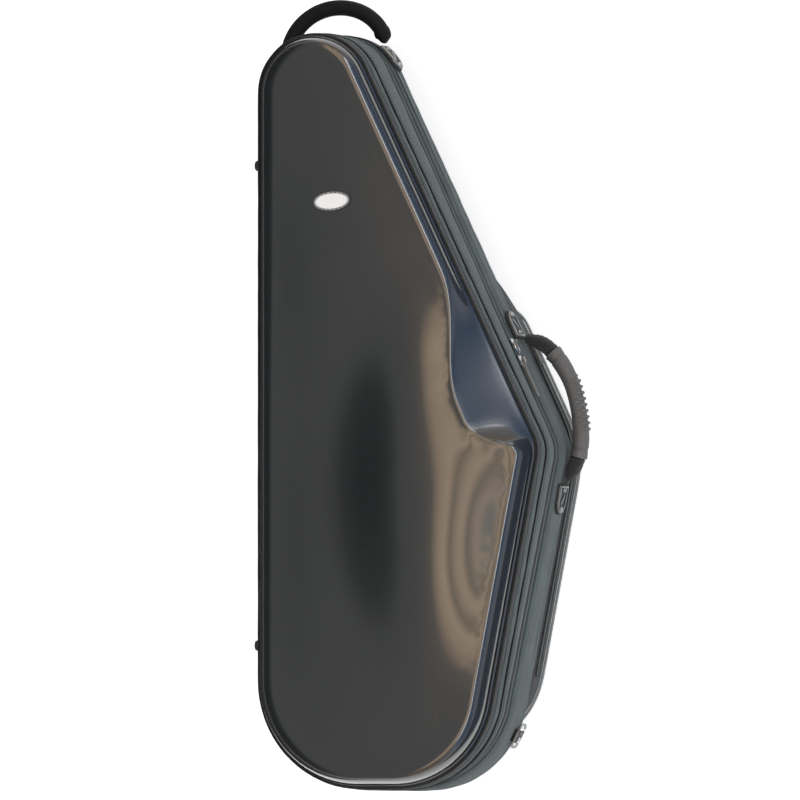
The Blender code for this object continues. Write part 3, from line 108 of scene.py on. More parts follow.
# Camera and light
VIEW_TURN = math.radians(19)
VIEW_DISTANCE = 20.0
VIEW_LENS = 812
VIEW_TARGET = Vector((0.0019, 0.0114, RIM_Z))
VIEW_DROP = 0.50
FLOOR_GLOW = 0.55
ROOM_LIGHT = (
    (-1.00, (0.05, 0.055, 0.06)), (-0.76, (0.05, 0.055, 0.06)), (-0.60, (0.14, 0.145, 0.15)),
    (-0.46, (0.42, 0.43, 0.44)), (-0.20, (0.46, 0.465, 0.47)), (-0.11, (0.50, 0.47, 0.44)),
    (-0.02, (2.70, 2.02, 1.40)), (0.05, (3.30, 2.50, 1.78)), (0.11, (0.95, 0.78, 0.58)),
    (0.17, (2.60, 2.02, 1.45)), (0.22, (3.20, 2.45, 1.75)), (0.27, (0.95, 0.78, 0.60)),
    (0.33, (2.50, 1.95, 1.42)), (0.38, (0.70, 0.62, 0.52)), (0.43, (0.90, 0.88, 0.85)),
    (0.455, (8.00, 8.00, 7.80)), (0.52, (8.00, 8.00, 8.00)), (0.55, (1.30, 1.55, 1.90)),
    (0.61, (0.42, 0.60, 0.95)), (0.82, (0.20, 0.36, 0.66)), (0.93, (0.75, 0.88, 1.10)),
    (1.00, (0.60, 0.66, 0.80)),
)
ROOM_CAP = {"From_Min": 0.50, "From_Max": 0.58, "To_Min": 0.8, "To_Max": 10.0}
ROOM_LEAN = 0.20
EVEN_LIGHT = 0.55
BELL_CARD = ((0.270, -1.4), (2.4, 1.4))
SPINE_CARD = ((-2.4, -1.4), (-0.260, 1.4))
CARD_PITCH = 0.004
CARD_DEPTH = 0.0002
FLOOR_HALF = 6
FLOOR_DROP = 0.0006
SENSOR_WIDTH = 36
LIGHTS = (
    ("top_soft", (-0.9, -0.3, 2.6), (0, 0, 0.1), (1.6, 2.2), 24, (1, 1, 1)),
    ("bell_side", (2.3, 0.3, 0.9), (0.1, 0, 0.12), (0.7, 2.4), 34, (0.97, 0.98, 1.0)),
    ("foot_side", (0.6, -2.2, 1.2), (0.1, -0.2, 0.1), (1.4, 0.8), 9, (1.0, 0.97, 0.94)),
)


# Outlines


def direction(angle):
    return Vector((math.cos(angle), math.sin(angle)))


def turned_left(vector):
    return Vector((-vector.y, vector.x))


def raised(point, z):
    return Vector((point.x, point.y, z))


def mix(low, high, share):
    return low + (high - low) * share


def spread(low, high, count):
    return [mix(low, high, k / (count - 1)) for k in range(count)]


def ease(value, low, high):
    share = max(0.0, min(1.0, (value - low) / (high - low)))
    return share * share * (3 - 2 * share)


def meet(point_a, normal_a, point_b, normal_b):
    return Matrix((normal_a, normal_b)).inverted() @ Vector((normal_a.dot(point_a), normal_b.dot(point_b)))


def case_corners():
    shoulder = ORIGIN + Vector((SHOULDER_WIDTH, SHOULDER_RISE))
    top_centre = ORIGIN + Vector((TOP_RADIUS, CASE_LENGTH - TOP_RADIUS))
    apart = shoulder - top_centre
    slant = direction(math.atan2(apart.y, apart.x) + math.acos(TOP_RADIUS / apart.length))
    peak = meet(ORIGIN, Vector((-1, 0)), shoulder, slant)
    return [ORIGIN.copy(), ORIGIN + Vector((BOTTOM_WIDTH, 0)), shoulder, peak]


def corner_frame(corners, index, radius):
    here = corners[index]
    before = -turned_left((here - corners[index - 1]).normalized())
    after = -turned_left((corners[(index + 1) % len(corners)] - here).normalized())
    return before, after, here - radius * (before + after) / (1 + before.dot(after))


def rounded_path(corners, radii, steps):
    path = []
    for index, (radius, count) in enumerate(zip(radii, steps)):
        before, after, centre = corner_frame(corners, index, radius)
        start = math.atan2(before.y, before.x)
        turn = math.acos(max(-1, min(1, before.dot(after))))
        for k in range(count + 1):
            normal = direction(start + turn * k / count)
            path.append((centre + radius * normal, normal))
    return path


def evenly(path, longest, closed=True):
    made = []
    count = len(path) if closed else len(path) - 1
    for i in range(count):
        (point, normal), (after, next_normal) = path[i], path[(i + 1) % len(path)]
        made.append((point, normal))
        extra = int((after - point).length / longest)
        for k in range(1, extra + 1):
            share = k / (extra + 1)
            made.append((point.lerp(after, share), normal.lerp(next_normal, share).normalized()))
    if not closed:
        made.append(path[-1])
    return made


def case_path(closed=True):
    return evenly(rounded_path(case_corners(), CORNER_RADII, FINE_STEPS), PATH_STEP, closed)


def side_normal(low_corner):
    corners = case_corners()
    return -turned_left((corners[low_corner + 1] - corners[low_corner]).normalized())


def on_side(normal, rise):
    shoulder = case_corners()[2]
    along = turned_left(normal)
    return shoulder + along * ((ORIGIN.y + rise - shoulder.y) / along.y)


def split_z(y):
    return SPLIT_Z - SPLIT_SLOPE * y


def over(spot, level, rise):
    """A point of the plan raised to a height, which is a value or a rule over Y, and by a rise."""
    return raised(spot, (level(spot.y) if callable(level) else level) + rise)


def section(*groups):
    """(outward, height, rise) points from groups of a height and its (outward, rise) points."""
    return [(outward, level, rise) for level, *points in groups for outward, rise in points]


# Materials

WAVE_REPEAT = 0.3142
SCRATCH_STRETCH = (1, 1, 14)
SCRATCH_DEPTH = 0.00004
STAMPED_DEPTHS = {"From_Min": 0.0009, "From_Max": 0.0016}
FLAT_FACING = {"From_Min": 0.985, "From_Max": 0.93}
SLANTED_SIDE = 2


def put(tree, made, numbered=(), **named):
    """Sets a node's properties, and its inputs by number or name; a value that is a socket is linked."""
    inputs = [(made.inputs[number], value) for number, value in dict(numbered).items()]
    for key, value in named.items():
        name = key.replace("_", " ")
        if name in made.inputs:
            inputs.append((made.inputs[name], value))
        else:
            setattr(made, key, value)
    for socket, value in inputs:
        if isinstance(value, bpy.types.NodeSocket):
            tree.links.new(value, socket)
        else:
            socket.default_value = value
    return made


def node(tree, kind, numbered=(), **named):
    return put(tree, tree.nodes.new("ShaderNode" + kind), numbered, **named)


def calculate(tree, operation, *values, **named):
    return node(tree, "Math", enumerate(values), operation=operation, **named).outputs[0]


def speckle(tree, vector, **named):
    return node(tree, "TexNoise", Vector=vector, **named).outputs["Fac"]


def remap(tree, value, **named):
    return node(tree, "MapRange", Value=value, **named).outputs["Result"]


def tinted(tree, colour, tint):
    """One colour multiplied by another."""
    inputs = {0: 1.0, 6: colour, 7: tint}
    return node(tree, "Mix", inputs, data_type="RGBA", blend_type="MULTIPLY").outputs[2]


def bump(tree, height, distance):
    return node(tree, "Bump", Height=height, Distance=distance, Strength=1.0).outputs["Normal"]


def new_material(name):
    made = bpy.data.materials.new(name)
    made.use_nodes = True
    return made, made.node_tree, made.node_tree.nodes["Principled BSDF"]


def ramp(tree, factor, low, high, low_at=0.0, high_at=1.0):
    made = node(tree, "ValToRGB", Fac=factor)
    for stop, at, colour in zip(made.color_ramp.elements, (low_at, high_at), (low, high)):
        stop.position = at
        stop.color = (*colour, 1)
    return made.outputs["Color"]


def shade(colour, share):
    return tuple(channel * share for channel in colour)


def grey(value):
    return (value,) * 3


def weave_height(tree, vector, pitch):
    """Height of a plain weave whose threads are a pitch apart, for a vector in metres."""
    check = node(tree, "TexChecker", Vector=vector, Scale=1 / pitch).outputs["Fac"]
    waves = []
    for axis in ("X", "Y"):
        scale = WAVE_REPEAT / pitch
        wave = node(tree, "TexWave", Vector=vector, Scale=scale, Distortion=0.3, bands_direction=axis)
        waves.append(wave.outputs["Fac"])
    return node(tree, "Mix", {0: check, 2: waves[0], 3: waves[1]}, data_type="FLOAT").outputs[0]


def cloth(name, colour, pitch, depth, by_uv=True, roughness=0.85, pucker=0.0):
    """Woven cloth: threads painted darker in the weave's hollows and lighter on their crowns (painted shade
    and highlight), uneven colour and, near its seams, a pucker in the surface.
    """
    made, tree, shader = new_material(name)
    coords = node(tree, "TexCoord").outputs
    threads = weave_height(tree, coords["UV"] if by_uv else coords["Object"], pitch)
    patches = speckle(tree, coords["Object"], Scale=28.0, Detail=4.0, Roughness=0.6)
    fibres = speckle(tree, coords["Object"], Scale=900.0, Detail=2.0)
    # Colour follows the weave's height: painted shade in its hollows, painted highlight on the thread crowns.
    shaded_thread_colour = ramp(tree, threads, shade(colour, 0.62), shade(colour, 1.28))
    tone = ramp(tree, patches, grey(0.80), grey(1.14), 0.3, 0.7)
    height = calculate(tree, "MULTIPLY_ADD", fibres, 0.5, threads)
    if pucker:
        folds = speckle(tree, coords["Object"], Scale=75.0, Detail=1.0)
        height = calculate(tree, "MULTIPLY_ADD", folds, pucker / depth, height)
    put(tree, shader, Base_Color=tinted(tree, shaded_thread_colour, tone), Normal=bump(tree, height, depth))
    put(tree, shader, Roughness=roughness, Sheen_Weight=0.25, Sheen_Roughness=0.4, Specular_IOR_Level=0.25)
    return made


def plush(name, colour):
    """Short pile: fine tufts that lie unevenly, with a sheen."""
    made, tree, shader = new_material(name)
    coords = node(tree, "TexCoord").outputs["Object"]
    pile = speckle(tree, coords, Scale=700.0, Detail=5.0, Roughness=0.75)
    brushed = speckle(tree, coords, Scale=16.0, Detail=3.0, Distortion=1.2)
    tone = ramp(tree, brushed, shade(colour, 0.65), shade(colour, 1.5), 0.35, 0.68)
    put(tree, shader, Base_Color=tone, Normal=bump(tree, pile, 0.0012))
    put(tree, shader, Roughness=0.95, Sheen_Weight=0.8, Sheen_Roughness=0.35)
    return made


def grained(name, colour, scale, depth, roughness, edge_wear_and_hollow_shade=1.5, specular=0.35):
    """Leather, rubber or moulded plastic: cells of grain, and raised edges that have worn paler."""
    made, tree, shader = new_material(name)
    coords = node(tree, "TexCoord").outputs["Object"]
    cells = node(tree, "TexVoronoi", Vector=coords, Scale=scale, feature="DISTANCE_TO_EDGE")
    fine = speckle(tree, coords, Scale=scale * 0.4, Detail=6.0)
    edges = node(tree, "NewGeometry").outputs["Pointiness"]
    patch = ramp(tree, fine, shade(colour, 0.75), shade(colour, 1.2), 0.3, 0.7)
    wear = ramp(tree, edges, grey(1), grey(edge_wear_and_hollow_shade), 0.50, 0.62)
    gloss = remap(tree, fine, To_Min=roughness - 0.08, To_Max=roughness + 0.10)
    put(tree, shader, Base_Color=tinted(tree, patch, wear), Roughness=gloss, Specular_IOR_Level=specular)
    put(tree, shader, Normal=bump(tree, cells.outputs["Distance"], depth))
    return made


def metal(name, colour, roughness, brushed=0.0, stamped=False, metallic=1.0, edge_wear_and_hollow_shade=True, enamel=None):
    """Plated metal with fine scratches, darkened in its hollows as painted shade or, where stamped, duller in
    its low field.

    Where it is enamelled, its wide faces, which lie along the slanted side, are dark and its edges bare.
    """
    made, tree, shader = new_material(name)
    coords = node(tree, "TexCoord").outputs
    stretched = node(tree, "Mapping", Vector=coords["Object"], Scale=SCRATCH_STRETCH).outputs["Vector"]
    scratches = speckle(tree, stretched, Scale=420.0, Detail=6.0, Roughness=0.7)
    grime = speckle(tree, coords["Object"], Scale=160.0, Detail=4.0)
    if stamped:
        depth = node(tree, "Attribute", attribute_name="relief").outputs["Fac"]
        tone = ramp(tree, remap(tree, depth, **STAMPED_DEPTHS), shade(colour, 0.10), colour)
    elif enamel:
        sides = {0: coords["Normal"], 1: side_normal(SLANTED_SIDE).to_3d()}
        facing = node(tree, "VectorMath", sides, operation="DOT_PRODUCT").outputs["Value"]
        metallic = remap(tree, calculate(tree, "ABSOLUTE", facing), **FLAT_FACING)
        tone = ramp(tree, metallic, enamel, colour)
    else:
        # Hollows, found by pointiness, are darkened: painted shade.
        edges = node(tree, "NewGeometry").outputs["Pointiness"]
        tone = ramp(tree, edges, shade(colour, 0.45 if edge_wear_and_hollow_shade else 0.9), colour, 0.42, 0.50)
    gloss = remap(tree, grime, To_Min=roughness, To_Max=roughness + 0.22)
    put(tree, shader, Base_Color=tone, Metallic=metallic, Roughness=gloss)
    put(tree, shader, Normal=bump(tree, scratches, SCRATCH_DEPTH + brushed))
    return made


def gloss_shell():
    """Gloss moulded shell: clear coat over dark fleck, with a faint orange peel and dust."""
    made, tree, shader = new_material("gloss_shell")
    coords = node(tree, "TexCoord").outputs["Object"]
    fleck = speckle(tree, coords, Scale=1400.0, Detail=3.0, Roughness=0.7)
    cloud = speckle(tree, coords, Scale=9.0, Detail=4.0, Roughness=0.55)
    peel = speckle(tree, coords, Scale=130.0, Detail=1.0)
    tone = ramp(tree, fleck, (0.0065, 0.0070, 0.0072), (0.0210, 0.0222, 0.0228), 0.38, 0.70)
    put(tree, shader, Base_Color=tone, Roughness=remap(tree, cloud, To_Min=0.16, To_Max=0.34))
    put(tree, shader, Normal=bump(tree, peel, 0.00003), Coat_Weight=1.0, Coat_Roughness=0.03, Coat_IOR=1.55)
    return made


MATERIALS = {
    "gloss_shell": gloss_shell(),
    "binding_cloth": cloth("binding_cloth", (0.0130, 0.0135, 0.0140), 0.0014, 0.0005),
    "band_cloth": cloth("band_cloth", (0.082, 0.110, 0.114), 0.0012, 0.0005, pucker=0.0005),
    "zip_cloth": cloth("zip_cloth", (0.095, 0.110, 0.110), 0.0007, 0.0003),
    "zip_coil": grained("zip_coil", (0.035, 0.038, 0.038), 2600, 0.00002, 0.42, 1.2),
    "hoop_foam": grained("hoop_foam", (0.10, 0.10, 0.10), 500, 0.0004, 0.92, 1.1),
    "back_panel": cloth("back_panel", (0.30, 0.22, 0.13), 0.0030, 0.0001, by_uv=False, roughness=0.7),
    "plush_lining": plush("plush_lining", (0.040, 0.040, 0.046)),
    "pocket_nylon": cloth("pocket_nylon", (0.034, 0.038, 0.041), 0.001, 0.0005, roughness=0.7, pucker=0.0011),
    "piping": cloth("piping", (0.30, 0.32, 0.33), 0.0008, 0.0002, roughness=0.45),
    "slider_metal": metal("slider_metal", (0.52, 0.52, 0.53), 0.14),
    "pull_enamel": metal("pull_enamel", (0.40, 0.40, 0.41), 0.24, enamel=(0.012, 0.012, 0.013)),
    "plate_metal": metal("plate_metal", (0.34, 0.34, 0.33), 0.34, 0.00002),
    "ring_metal": metal("ring_metal", (0.13, 0.13, 0.13), 0.36, 0.00002),
    "plate_stamped": metal("plate_stamped", (0.34, 0.34, 0.33), 0.34, 0.00002, True),
    "pad_rubber": grained("pad_rubber", (0.018, 0.018, 0.019), 1600, 0.0001, 0.75),
    "grip_rubber": grained("grip_rubber", (0.105, 0.101, 0.099), 1900, 0.00012, 0.55, 1.35),
    "sleeve_cloth": cloth("sleeve_cloth", (0.030, 0.030, 0.029), 0.0013, 0.0006, pucker=0.0010),
    "handle_leather": grained("handle_leather", (0.0085, 0.0090, 0.0095), 1300, 0.00025, 0.62, specular=0.12),
    "foot_rubber": grained("foot_rubber", (0.022, 0.022, 0.023), 1500, 0.0001, 0.62),
    "screw_steel": metal("screw_steel", (0.50, 0.50, 0.51), 0.28, 0.00003),
    "badge_plate": metal("badge_plate", (0.86, 0.87, 0.88), 0.30, 0.00001, metallic=0.35),
    "badge_wire": metal("badge_wire", (0.62, 0.63, 0.64), 0.22, metallic=0.9, edge_wear_and_hollow_shade=False),
    "thread": grained("thread", (0.060, 0.066, 0.066), 1800, 0.0001, 0.75, 1.0),
    "dark_thread": grained("dark_thread", (0.020, 0.020, 0.021), 1800, 0.0001, 0.75, 1.0),
}
SLOT_OF = {"plate_stamped": "plate_metal", "thread": "band_cloth", "dark_thread": "binding_cloth"}


# Makers of pieces

RIPPLE_SCALE = 55
CORD_SIDES = 8
LATHE_SIDES = 36
STITCH_SINK = 0.4


def new_object(name, data):
    made = bpy.data.objects.new(name, data)
    bpy.context.scene.collection.objects.link(made)
    return made


def soften(obj, levels):
    soft = obj.modifiers.new("soft", "SUBSURF")
    soft.levels = levels
    soft.render_levels = levels


def finish_piece(name, shape, material, body, covers=(), levels=0, angle=40):
    """A piece from a bmesh: outward faces, material, body, and the solids that it stands for."""
    bmesh.ops.recalc_face_normals(shape, faces=shape.faces[:])
    data = bpy.data.meshes.new(name)
    shape.to_mesh(data)
    shape.free()
    obj = new_object(name, data)
    data.materials.append(MATERIALS[material])
    data.shade_smooth()
    if levels:
        soften(obj, levels)
    elif angle:
        data.set_sharp_from_angle(angle=math.radians(angle))
    if covers:
        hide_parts(*covers)
    SLOT_OF.get(material, material)
    if body:
        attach(obj, body)
    return obj


def lengths_along(points):
    """Distances from the first of a run of points, closed back to the first."""
    run = [0.0]
    for a, b in zip(points, [*points[1:], points[0]]):
        run.append(run[-1] + (b - a).length)
    return run


def grid(shape, rows, closed_rows, closed_columns):
    """Quads between rows of points, with UVs in metres along the rows' order and across them."""
    uv = shape.loops.layers.uv.new("cloth")
    verts = [[shape.verts.new(point) for point in row] for row in rows]
    across = [lengths_along(row) for row in rows]
    along = lengths_along([row[0] for row in rows])
    width = len(rows[0])
    for i in range(len(rows) if closed_rows else len(rows) - 1):
        j = (i + 1) % len(rows)
        for k in range(width if closed_columns else width - 1):
            m = (k + 1) % width
            face = shape.faces.new((verts[i][k], verts[i][m], verts[j][m], verts[j][k]))
            spots = [(along[i], across[i][k]), (along[i], across[i][k + 1])]
            spots += [(along[i + 1], across[j][k + 1]), (along[i + 1], across[j][k])]
            for loop, spot in zip(face.loops, spots):
                loop[uv].uv = spot
    return verts


def lofted(rows, closed=False):
    """A bmesh of quads between rings of points, closed round or with a cap at each end."""
    shape = bmesh.new()
    verts = grid(shape, rows, closed, True)
    if not closed:
        shape.faces.new(verts[0])
        shape.faces.new(verts[-1][::-1])
    return shape


def bridge(shape, here, after):
    """Quads between two closed rings of vertices."""
    for k in range(len(here)):
        m = (k + 1) % len(here)
        shape.faces.new((here[k], here[m], after[m], after[k]))


def spokes(sides, radius=1.0):
    return [direction(2 * math.pi * k / sides) * radius for k in range(sides)]


def diamond(shape, spot, across, out):
    """Four vertices round a point, at the ends of two half axes."""
    return [shape.verts.new(spot + across * a + out * b) for a, b in ((1, 0), (0, 1), (-1, 0), (0, -1))]


def sweep(name, path, points, material, body, covers=(), closed=True, levels=1, ripple=0.0):
    """A section of (outward, height, rise) points carried round a path, with an uneven surface."""
    rows = []
    for point, normal in path:
        row = []
        for outward, level, rise in points:
            spot = over(point + normal * outward, level, rise)
            if ripple:
                spot += raised(normal, 0) * ripple * noise.noise(spot * RIPPLE_SCALE)
            row.append(spot)
        rows.append(row)
    return finish_piece(name, lofted(rows, closed), material, body, covers, levels)


def cord(name, path, place, radius, material, body, covers):
    """A round cord carried round a closed path, at an (outward, height, rise)."""
    outward, level, rise = place
    points = [(outward + spoke.x, level, rise + spoke.y) for spoke in spokes(CORD_SIDES, radius)]
    sweep(name, path, points, material, body, covers)


def spaced(points, pitch):
    """Points a pitch apart along a run of points, each with the way that the run goes there."""
    made = []
    left = pitch / 2
    for a, b in zip(points, points[1:]):
        run = b - a
        at = left
        while at < run.length:
            made.append((a + run.normalized() * at, run.normalized()))
            at += pitch
        left = at - run.length
    return made


def stitches(name, runs, material, body, pitch=0.0042, length=0.0030, width=0.0007):
    """Rows of thread stitches along runs of (points, way out of the cloth at each point)."""
    shape = bmesh.new()
    for points, outward in runs:
        for spot, along in spaced(points, pitch):
            nearest = min(range(len(points)), key=lambda i: (points[i] - spot).length_squared)
            out = outward[nearest]
            across = along.cross(out).normalized()
            sink = out * width * STITCH_SINK
            ends = [shape.verts.new(spot + along * length / 2 * side - sink) for side in (-1, 1)]
            ring = diamond(shape, spot, across * width / 2, out * width / 2)
            for k in range(4):
                for end in ends:
                    shape.faces.new((ring[k], ring[(k + 1) % 4], end))
    finish_piece(name, shape, material, body, angle=0)


def path_stitches(name, rows, material, body, path):
    """Stitch rows round the case, each at an (outward, height, rise)."""
    out = [raised(normal, 0) for _, normal in path]
    runs = [([over(point + normal * outward, level, rise) for point, normal in path], out)
            for outward, level, rise in rows]
    stitches(name, runs, material, body)


def tube(name, stations, material, body, covers, sides):
    """A closed tube through stations of (point, across, radius across, radius up)."""
    rows = []
    for point, across, wide, high in stations:
        rows.append([point + across * spoke.x * wide + UP * spoke.y * high for spoke in spokes(sides)])
    return finish_piece(name, lofted(rows), material, body, covers, 1)


def lathe(name, profile, place, material, body, covers):
    """A turned piece from (radius, height) pairs that start and end on its axis."""
    shape = bmesh.new()
    rings = []
    for radius, height in profile[1:-1]:
        rings.append([shape.verts.new(place @ raised(spot, height)) for spot in spokes(LATHE_SIDES, radius)])
    for here, after in zip(rings, rings[1:]):
        bridge(shape, here, after)
    for ring, (_, height) in ((rings[0], profile[0]), (rings[-1], profile[-1])):
        middle = shape.verts.new(place @ Vector((0, 0, height)))
        for k in range(LATHE_SIDES):
            shape.faces.new((ring[k], ring[(k + 1) % LATHE_SIDES], middle))
    finish_piece(name, shape, material, body, covers, 0, 30)


def dress(names, material, bevel=0.0, subdivide=0):
    """A better material, and softer edges, for solids whose shape is right."""
    for name in names:
        obj = NODES[name]
        obj.data.materials.clear()
        obj.data.materials.append(MATERIALS[material])
        if bevel:
            edge = obj.modifiers.new("edge", "BEVEL")
            edge.width = bevel
            edge.segments = 3
            edge.limit_method = "ANGLE"
            edge.angle_limit = math.radians(40)
        if subdivide:
            soften(obj, subdivide)
        obj.data.shade_smooth()


# Gloss shell and liner

RIDGE_NECK = 0.0200
RIDGE_BELL = 0.0290
RIDGE_NECK_RISE = 0.650
SHELL_DRAFT = 0.0080
RIM_STRIP = 0.0022
LIP_WIDTH = 0.0020
LIP_RISE = 0.0010
RIDGE_ROUND = 0.0070
SPINE_ROLL = 0.0160
DOME_RISE = 0.0060
BELL_RISE = 0.0165
BELL_CENTRE = (0.200, 0.330)
BELL_REACH = (0.102, 0.300)
BELL_ALONG = (0.245, 0.300)
BELL_FLANK = (0.92, 1.32)
FACET_INSET = 0.040
FACET_RISES = (0.364, 0.424, 0.442, 0.572)
SHELL_THICKNESS = 0.0025
WALL_STEPS = 14
FACET_LEAN_STEPS = 8
CREST_SHARE = 0.8
FACET_CREST = math.radians(34)
FACE_PITCH = 0.0055
FACE_ROUNDS = 700
SETTLE_ROUNDS = 24
LEAST_STEP = 0.0001
LINER_GAP = 0.0045
LINER_THICKNESS = 0.0040
BELL_TOP = 0.18
RIM_STRIP_SHARE = 0.8
LIP_START = (0.15, 0.1)
LIP_BLEND = 0.06
LEAN_SAG = 0.14
NET_GRAIN = 1e-7
NET_CLEARANCE = 0.55


def ridge_height(y):
    return mix(RIDGE_BELL, RIDGE_NECK, ease(y - ORIGIN.y, SHOULDER_RISE, RIDGE_NECK_RISE))


def facet_share(point, normal):
    rise = point.y - ORIGIN.y
    low, peak_low, peak_high, high = FACET_RISES
    return 0.0 if normal.x < 0 else ease(rise, low, peak_low) * (1 - ease(rise, peak_high, high))


def bell_bump(spot):
    """The bell's bulge: a broad top, and a flank that is steepest to the spine."""
    off = spot.x - ORIGIN.x - BELL_CENTRE[0]
    across = off / BELL_REACH[0 if off < 0 else 1]
    reach = mix(*BELL_ALONG, ease(off, 0, BELL_REACH[0]))
    along = (spot.y - ORIGIN.y - BELL_CENTRE[1]) / reach
    return BELL_RISE * (1 - ease(math.hypot(across, along), BELL_TOP, 1.0))


def flank(share):
    """The share of the bulge's rise: it falls steepest where the face meets the shell's edge."""
    reach, power = BELL_FLANK
    return 1 - (1 - min(1.0, share / reach)) ** power


def wall_profile(height, roll, facet):
    """The wall's (inward, rise) points: a lip, then an oval rise that gives way to a leaning facet."""
    start = Vector((LIP_WIDTH, RIM_STRIP + LIP_RISE))
    oval = Vector((SHELL_DRAFT + roll, height)) - start
    far = SHELL_DRAFT + roll + FACET_INSET

    def crest(lean):
        return Vector((far - RIDGE_ROUND * math.sin(lean), height - RIDGE_ROUND * (1 - math.cos(lean))))

    foot = crest(FACET_CREST)
    lip = Vector((LIP_WIDTH * LIP_START[0], RIM_STRIP + LIP_RISE * LIP_START[1]))
    points = [Vector((0, 0)), Vector((0, RIM_STRIP * RIM_STRIP_SHARE)), lip]
    points.append(start * (1 - LIP_BLEND) + lip * LIP_BLEND)
    for k in range(1, WALL_STEPS + 1):
        turn = math.pi / 2 * k / WALL_STEPS
        round_spot = start + Vector((oval.x * (1 - math.cos(turn)), oval.y * math.sin(turn)))
        if k <= FACET_LEAN_STEPS:
            share = k / FACET_LEAN_STEPS
            climb = share * (1 - LEAN_SAG + LEAN_SAG * share)
            lean_spot = Vector((mix(start.x, foot.x, share), mix(start.y, foot.y, climb)))
        else:
            lean_spot = crest(FACET_CREST * (WALL_STEPS - k) / (WALL_STEPS - FACET_LEAN_STEPS))
        points.append(round_spot.lerp(lean_spot, facet))
    return points


def drawn_in(points, shrink):
    """A profile moved inward, square to its run, without folds and kept over the rim."""
    moved = []
    least = Vector((0, 0))
    for i, spot in enumerate(points):
        run = (points[min(i + 1, len(points) - 1)] - points[max(i - 1, 0)]).normalized()
        moved.append(Vector((max(least.x, spot.x + run.y * shrink), max(least.y, spot.y - run.x * shrink))))
        least = moved[-1] + Vector((LEAST_STEP, 0))
    return moved


def wall_row(point, normal, shrink):
    """The shell's wall at a point of the outline, from its rim to the end of its rolled edge."""
    roll = mix(RIDGE_ROUND, SPINE_ROLL, ease(-normal.x, 0, 1))
    facet = facet_share(point, normal)
    crest = point - normal * (SHELL_DRAFT + roll + FACET_INSET * facet)
    height = ridge_height(point.y) + CREST_SHARE * facet * bell_bump(crest)
    profile = wall_profile(height, roll, facet)
    if shrink:
        profile = drawn_in(profile, shrink)
    return [raised(point - normal * inward, RIM_Z + rise) for inward, rise in profile]


def points_inside(ring, pitch):
    """A regular grid of points inside a ring, clear of its edge."""
    edges = list(zip(ring, [*ring[1:], ring[0]]))
    low = Vector((min(spot.x for spot in ring), min(spot.y for spot in ring)))
    high = Vector((max(spot.x for spot in ring), max(spot.y for spot in ring)))
    made = []
    for j in range(int((high.y - low.y) / pitch) + 1):
        y = low.y + j * pitch
        near = [(a, b) for a, b in edges if min(a.y, b.y) - pitch < y < max(a.y, b.y) + pitch]
        crossings = sorted(mix(a.x, b.x, (y - a.y) / (b.y - a.y)) for a, b in near if (a.y > y) != (b.y > y))
        for i in range(int((high.x - low.x) / pitch) + 1):
            spot = Vector((low.x + (i + 0.5 * (j % 2)) * pitch, y))
            inside = sum(1 for x in crossings if x < spot.x) % 2
            if inside and all(from_segment(spot, a, b) > pitch * NET_CLEARANCE for a, b in near):
                made.append(spot)
    return made


def from_segment(spot, a, b):
    run = b - a
    share = max(0.0, min(1.0, (spot - a).dot(run) / max(run.length_squared, 1e-12)))
    return (spot - a - run * share).length


def net(shape, ring, pitch, height):
    """A net of triangles over a ring of vertices, with new vertices at a height rule.

    It gives the points, their vertices and the faces, as numbers of points.
    """
    outline = [vert.co.xy for vert in ring]
    edge = [list(range(len(ring)))]
    found = delaunay_2d_cdt(outline + points_inside(outline, pitch), [], edge, 1, NET_GRAIN)
    spots, faces, sources = found[0], found[2], found[3]
    verts = []
    for spot, source in zip(spots, sources):
        on_ring = [k for k in source if k < len(ring)]
        verts.append(ring[on_ring[0]] if on_ring else shape.verts.new(raised(spot, height(spot))))
    for face in faces:
        shape.faces.new([verts[k] for k in face])
    return spots, verts, faces


def fill_face(shape, ring, shrink):
    """The shell's face: a net over the ring, stretched smooth, with the dome and the bell's bulge."""
    def height(spot):
        return RIM_Z + ridge_height(spot.y) - shrink

    spots, verts, faces = net(shape, ring, FACE_PITCH, height)
    held = set(ring)
    level = np.array([vert.co.z if vert in held else height(spot) for spot, vert in zip(spots, verts)])
    links = {tuple(sorted((face[k - 1], face[k]))) for face in faces for k in range(len(face))}
    ends = np.array(sorted(links))
    degree = np.bincount(ends.ravel(), minlength=len(spots))
    free = np.array([vert not in held for vert in verts]) & (degree > 0)
    dome = np.zeros(len(spots))
    for _ in range(FACE_ROUNDS):
        for field, source in ((level, 0.0), (dome, 1.0)):
            field[free] = neighbour_mean(field, ends, degree)[free] + source
    dome /= dome.max()
    for i in np.flatnonzero(free):
        share = float(dome[i])
        level[i] += DOME_RISE * ease(share, 0, 1) + bell_bump(spots[i]) * flank(share)
    for _ in range(SETTLE_ROUNDS):
        level[free] = neighbour_mean(level, ends, degree)[free]
    for i in np.flatnonzero(free):
        verts[i].co.z = float(level[i])


def neighbour_mean(field, ends, degree):
    total = np.bincount(ends[:, 0], field[ends[:, 1]], len(field))
    total += np.bincount(ends[:, 1], field[ends[:, 0]], len(field))
    return total / np.maximum(degree, 1)


def shell_form(name, shrink, thickness, material, covers):
    """The shell's skin, from its rim over its rolled edge to its face, with its thickness."""
    shape = bmesh.new()
    verts = grid(shape, [wall_row(point, normal, shrink) for point, normal in case_path()], True, False)
    fill_face(shape, [row[-1] for row in verts], shrink)
    obj = finish_piece(name, shape, material, "lid", covers, 0, 0)
    skin = obj.modifiers.new("thickness", "SOLIDIFY")
    skin.thickness = thickness
    skin.offset = 1 if shrink else -1
    return obj


def make_shell():
    shell_form("shell_skin", 0, SHELL_THICKNESS, "gloss_shell", ["lid_shell"])
    depth = SHELL_THICKNESS + LINER_GAP + LINER_THICKNESS
    liner = shell_form("liner_pad", depth, LINER_THICKNESS, "plush_lining", ["lid_liner"])


# Bands

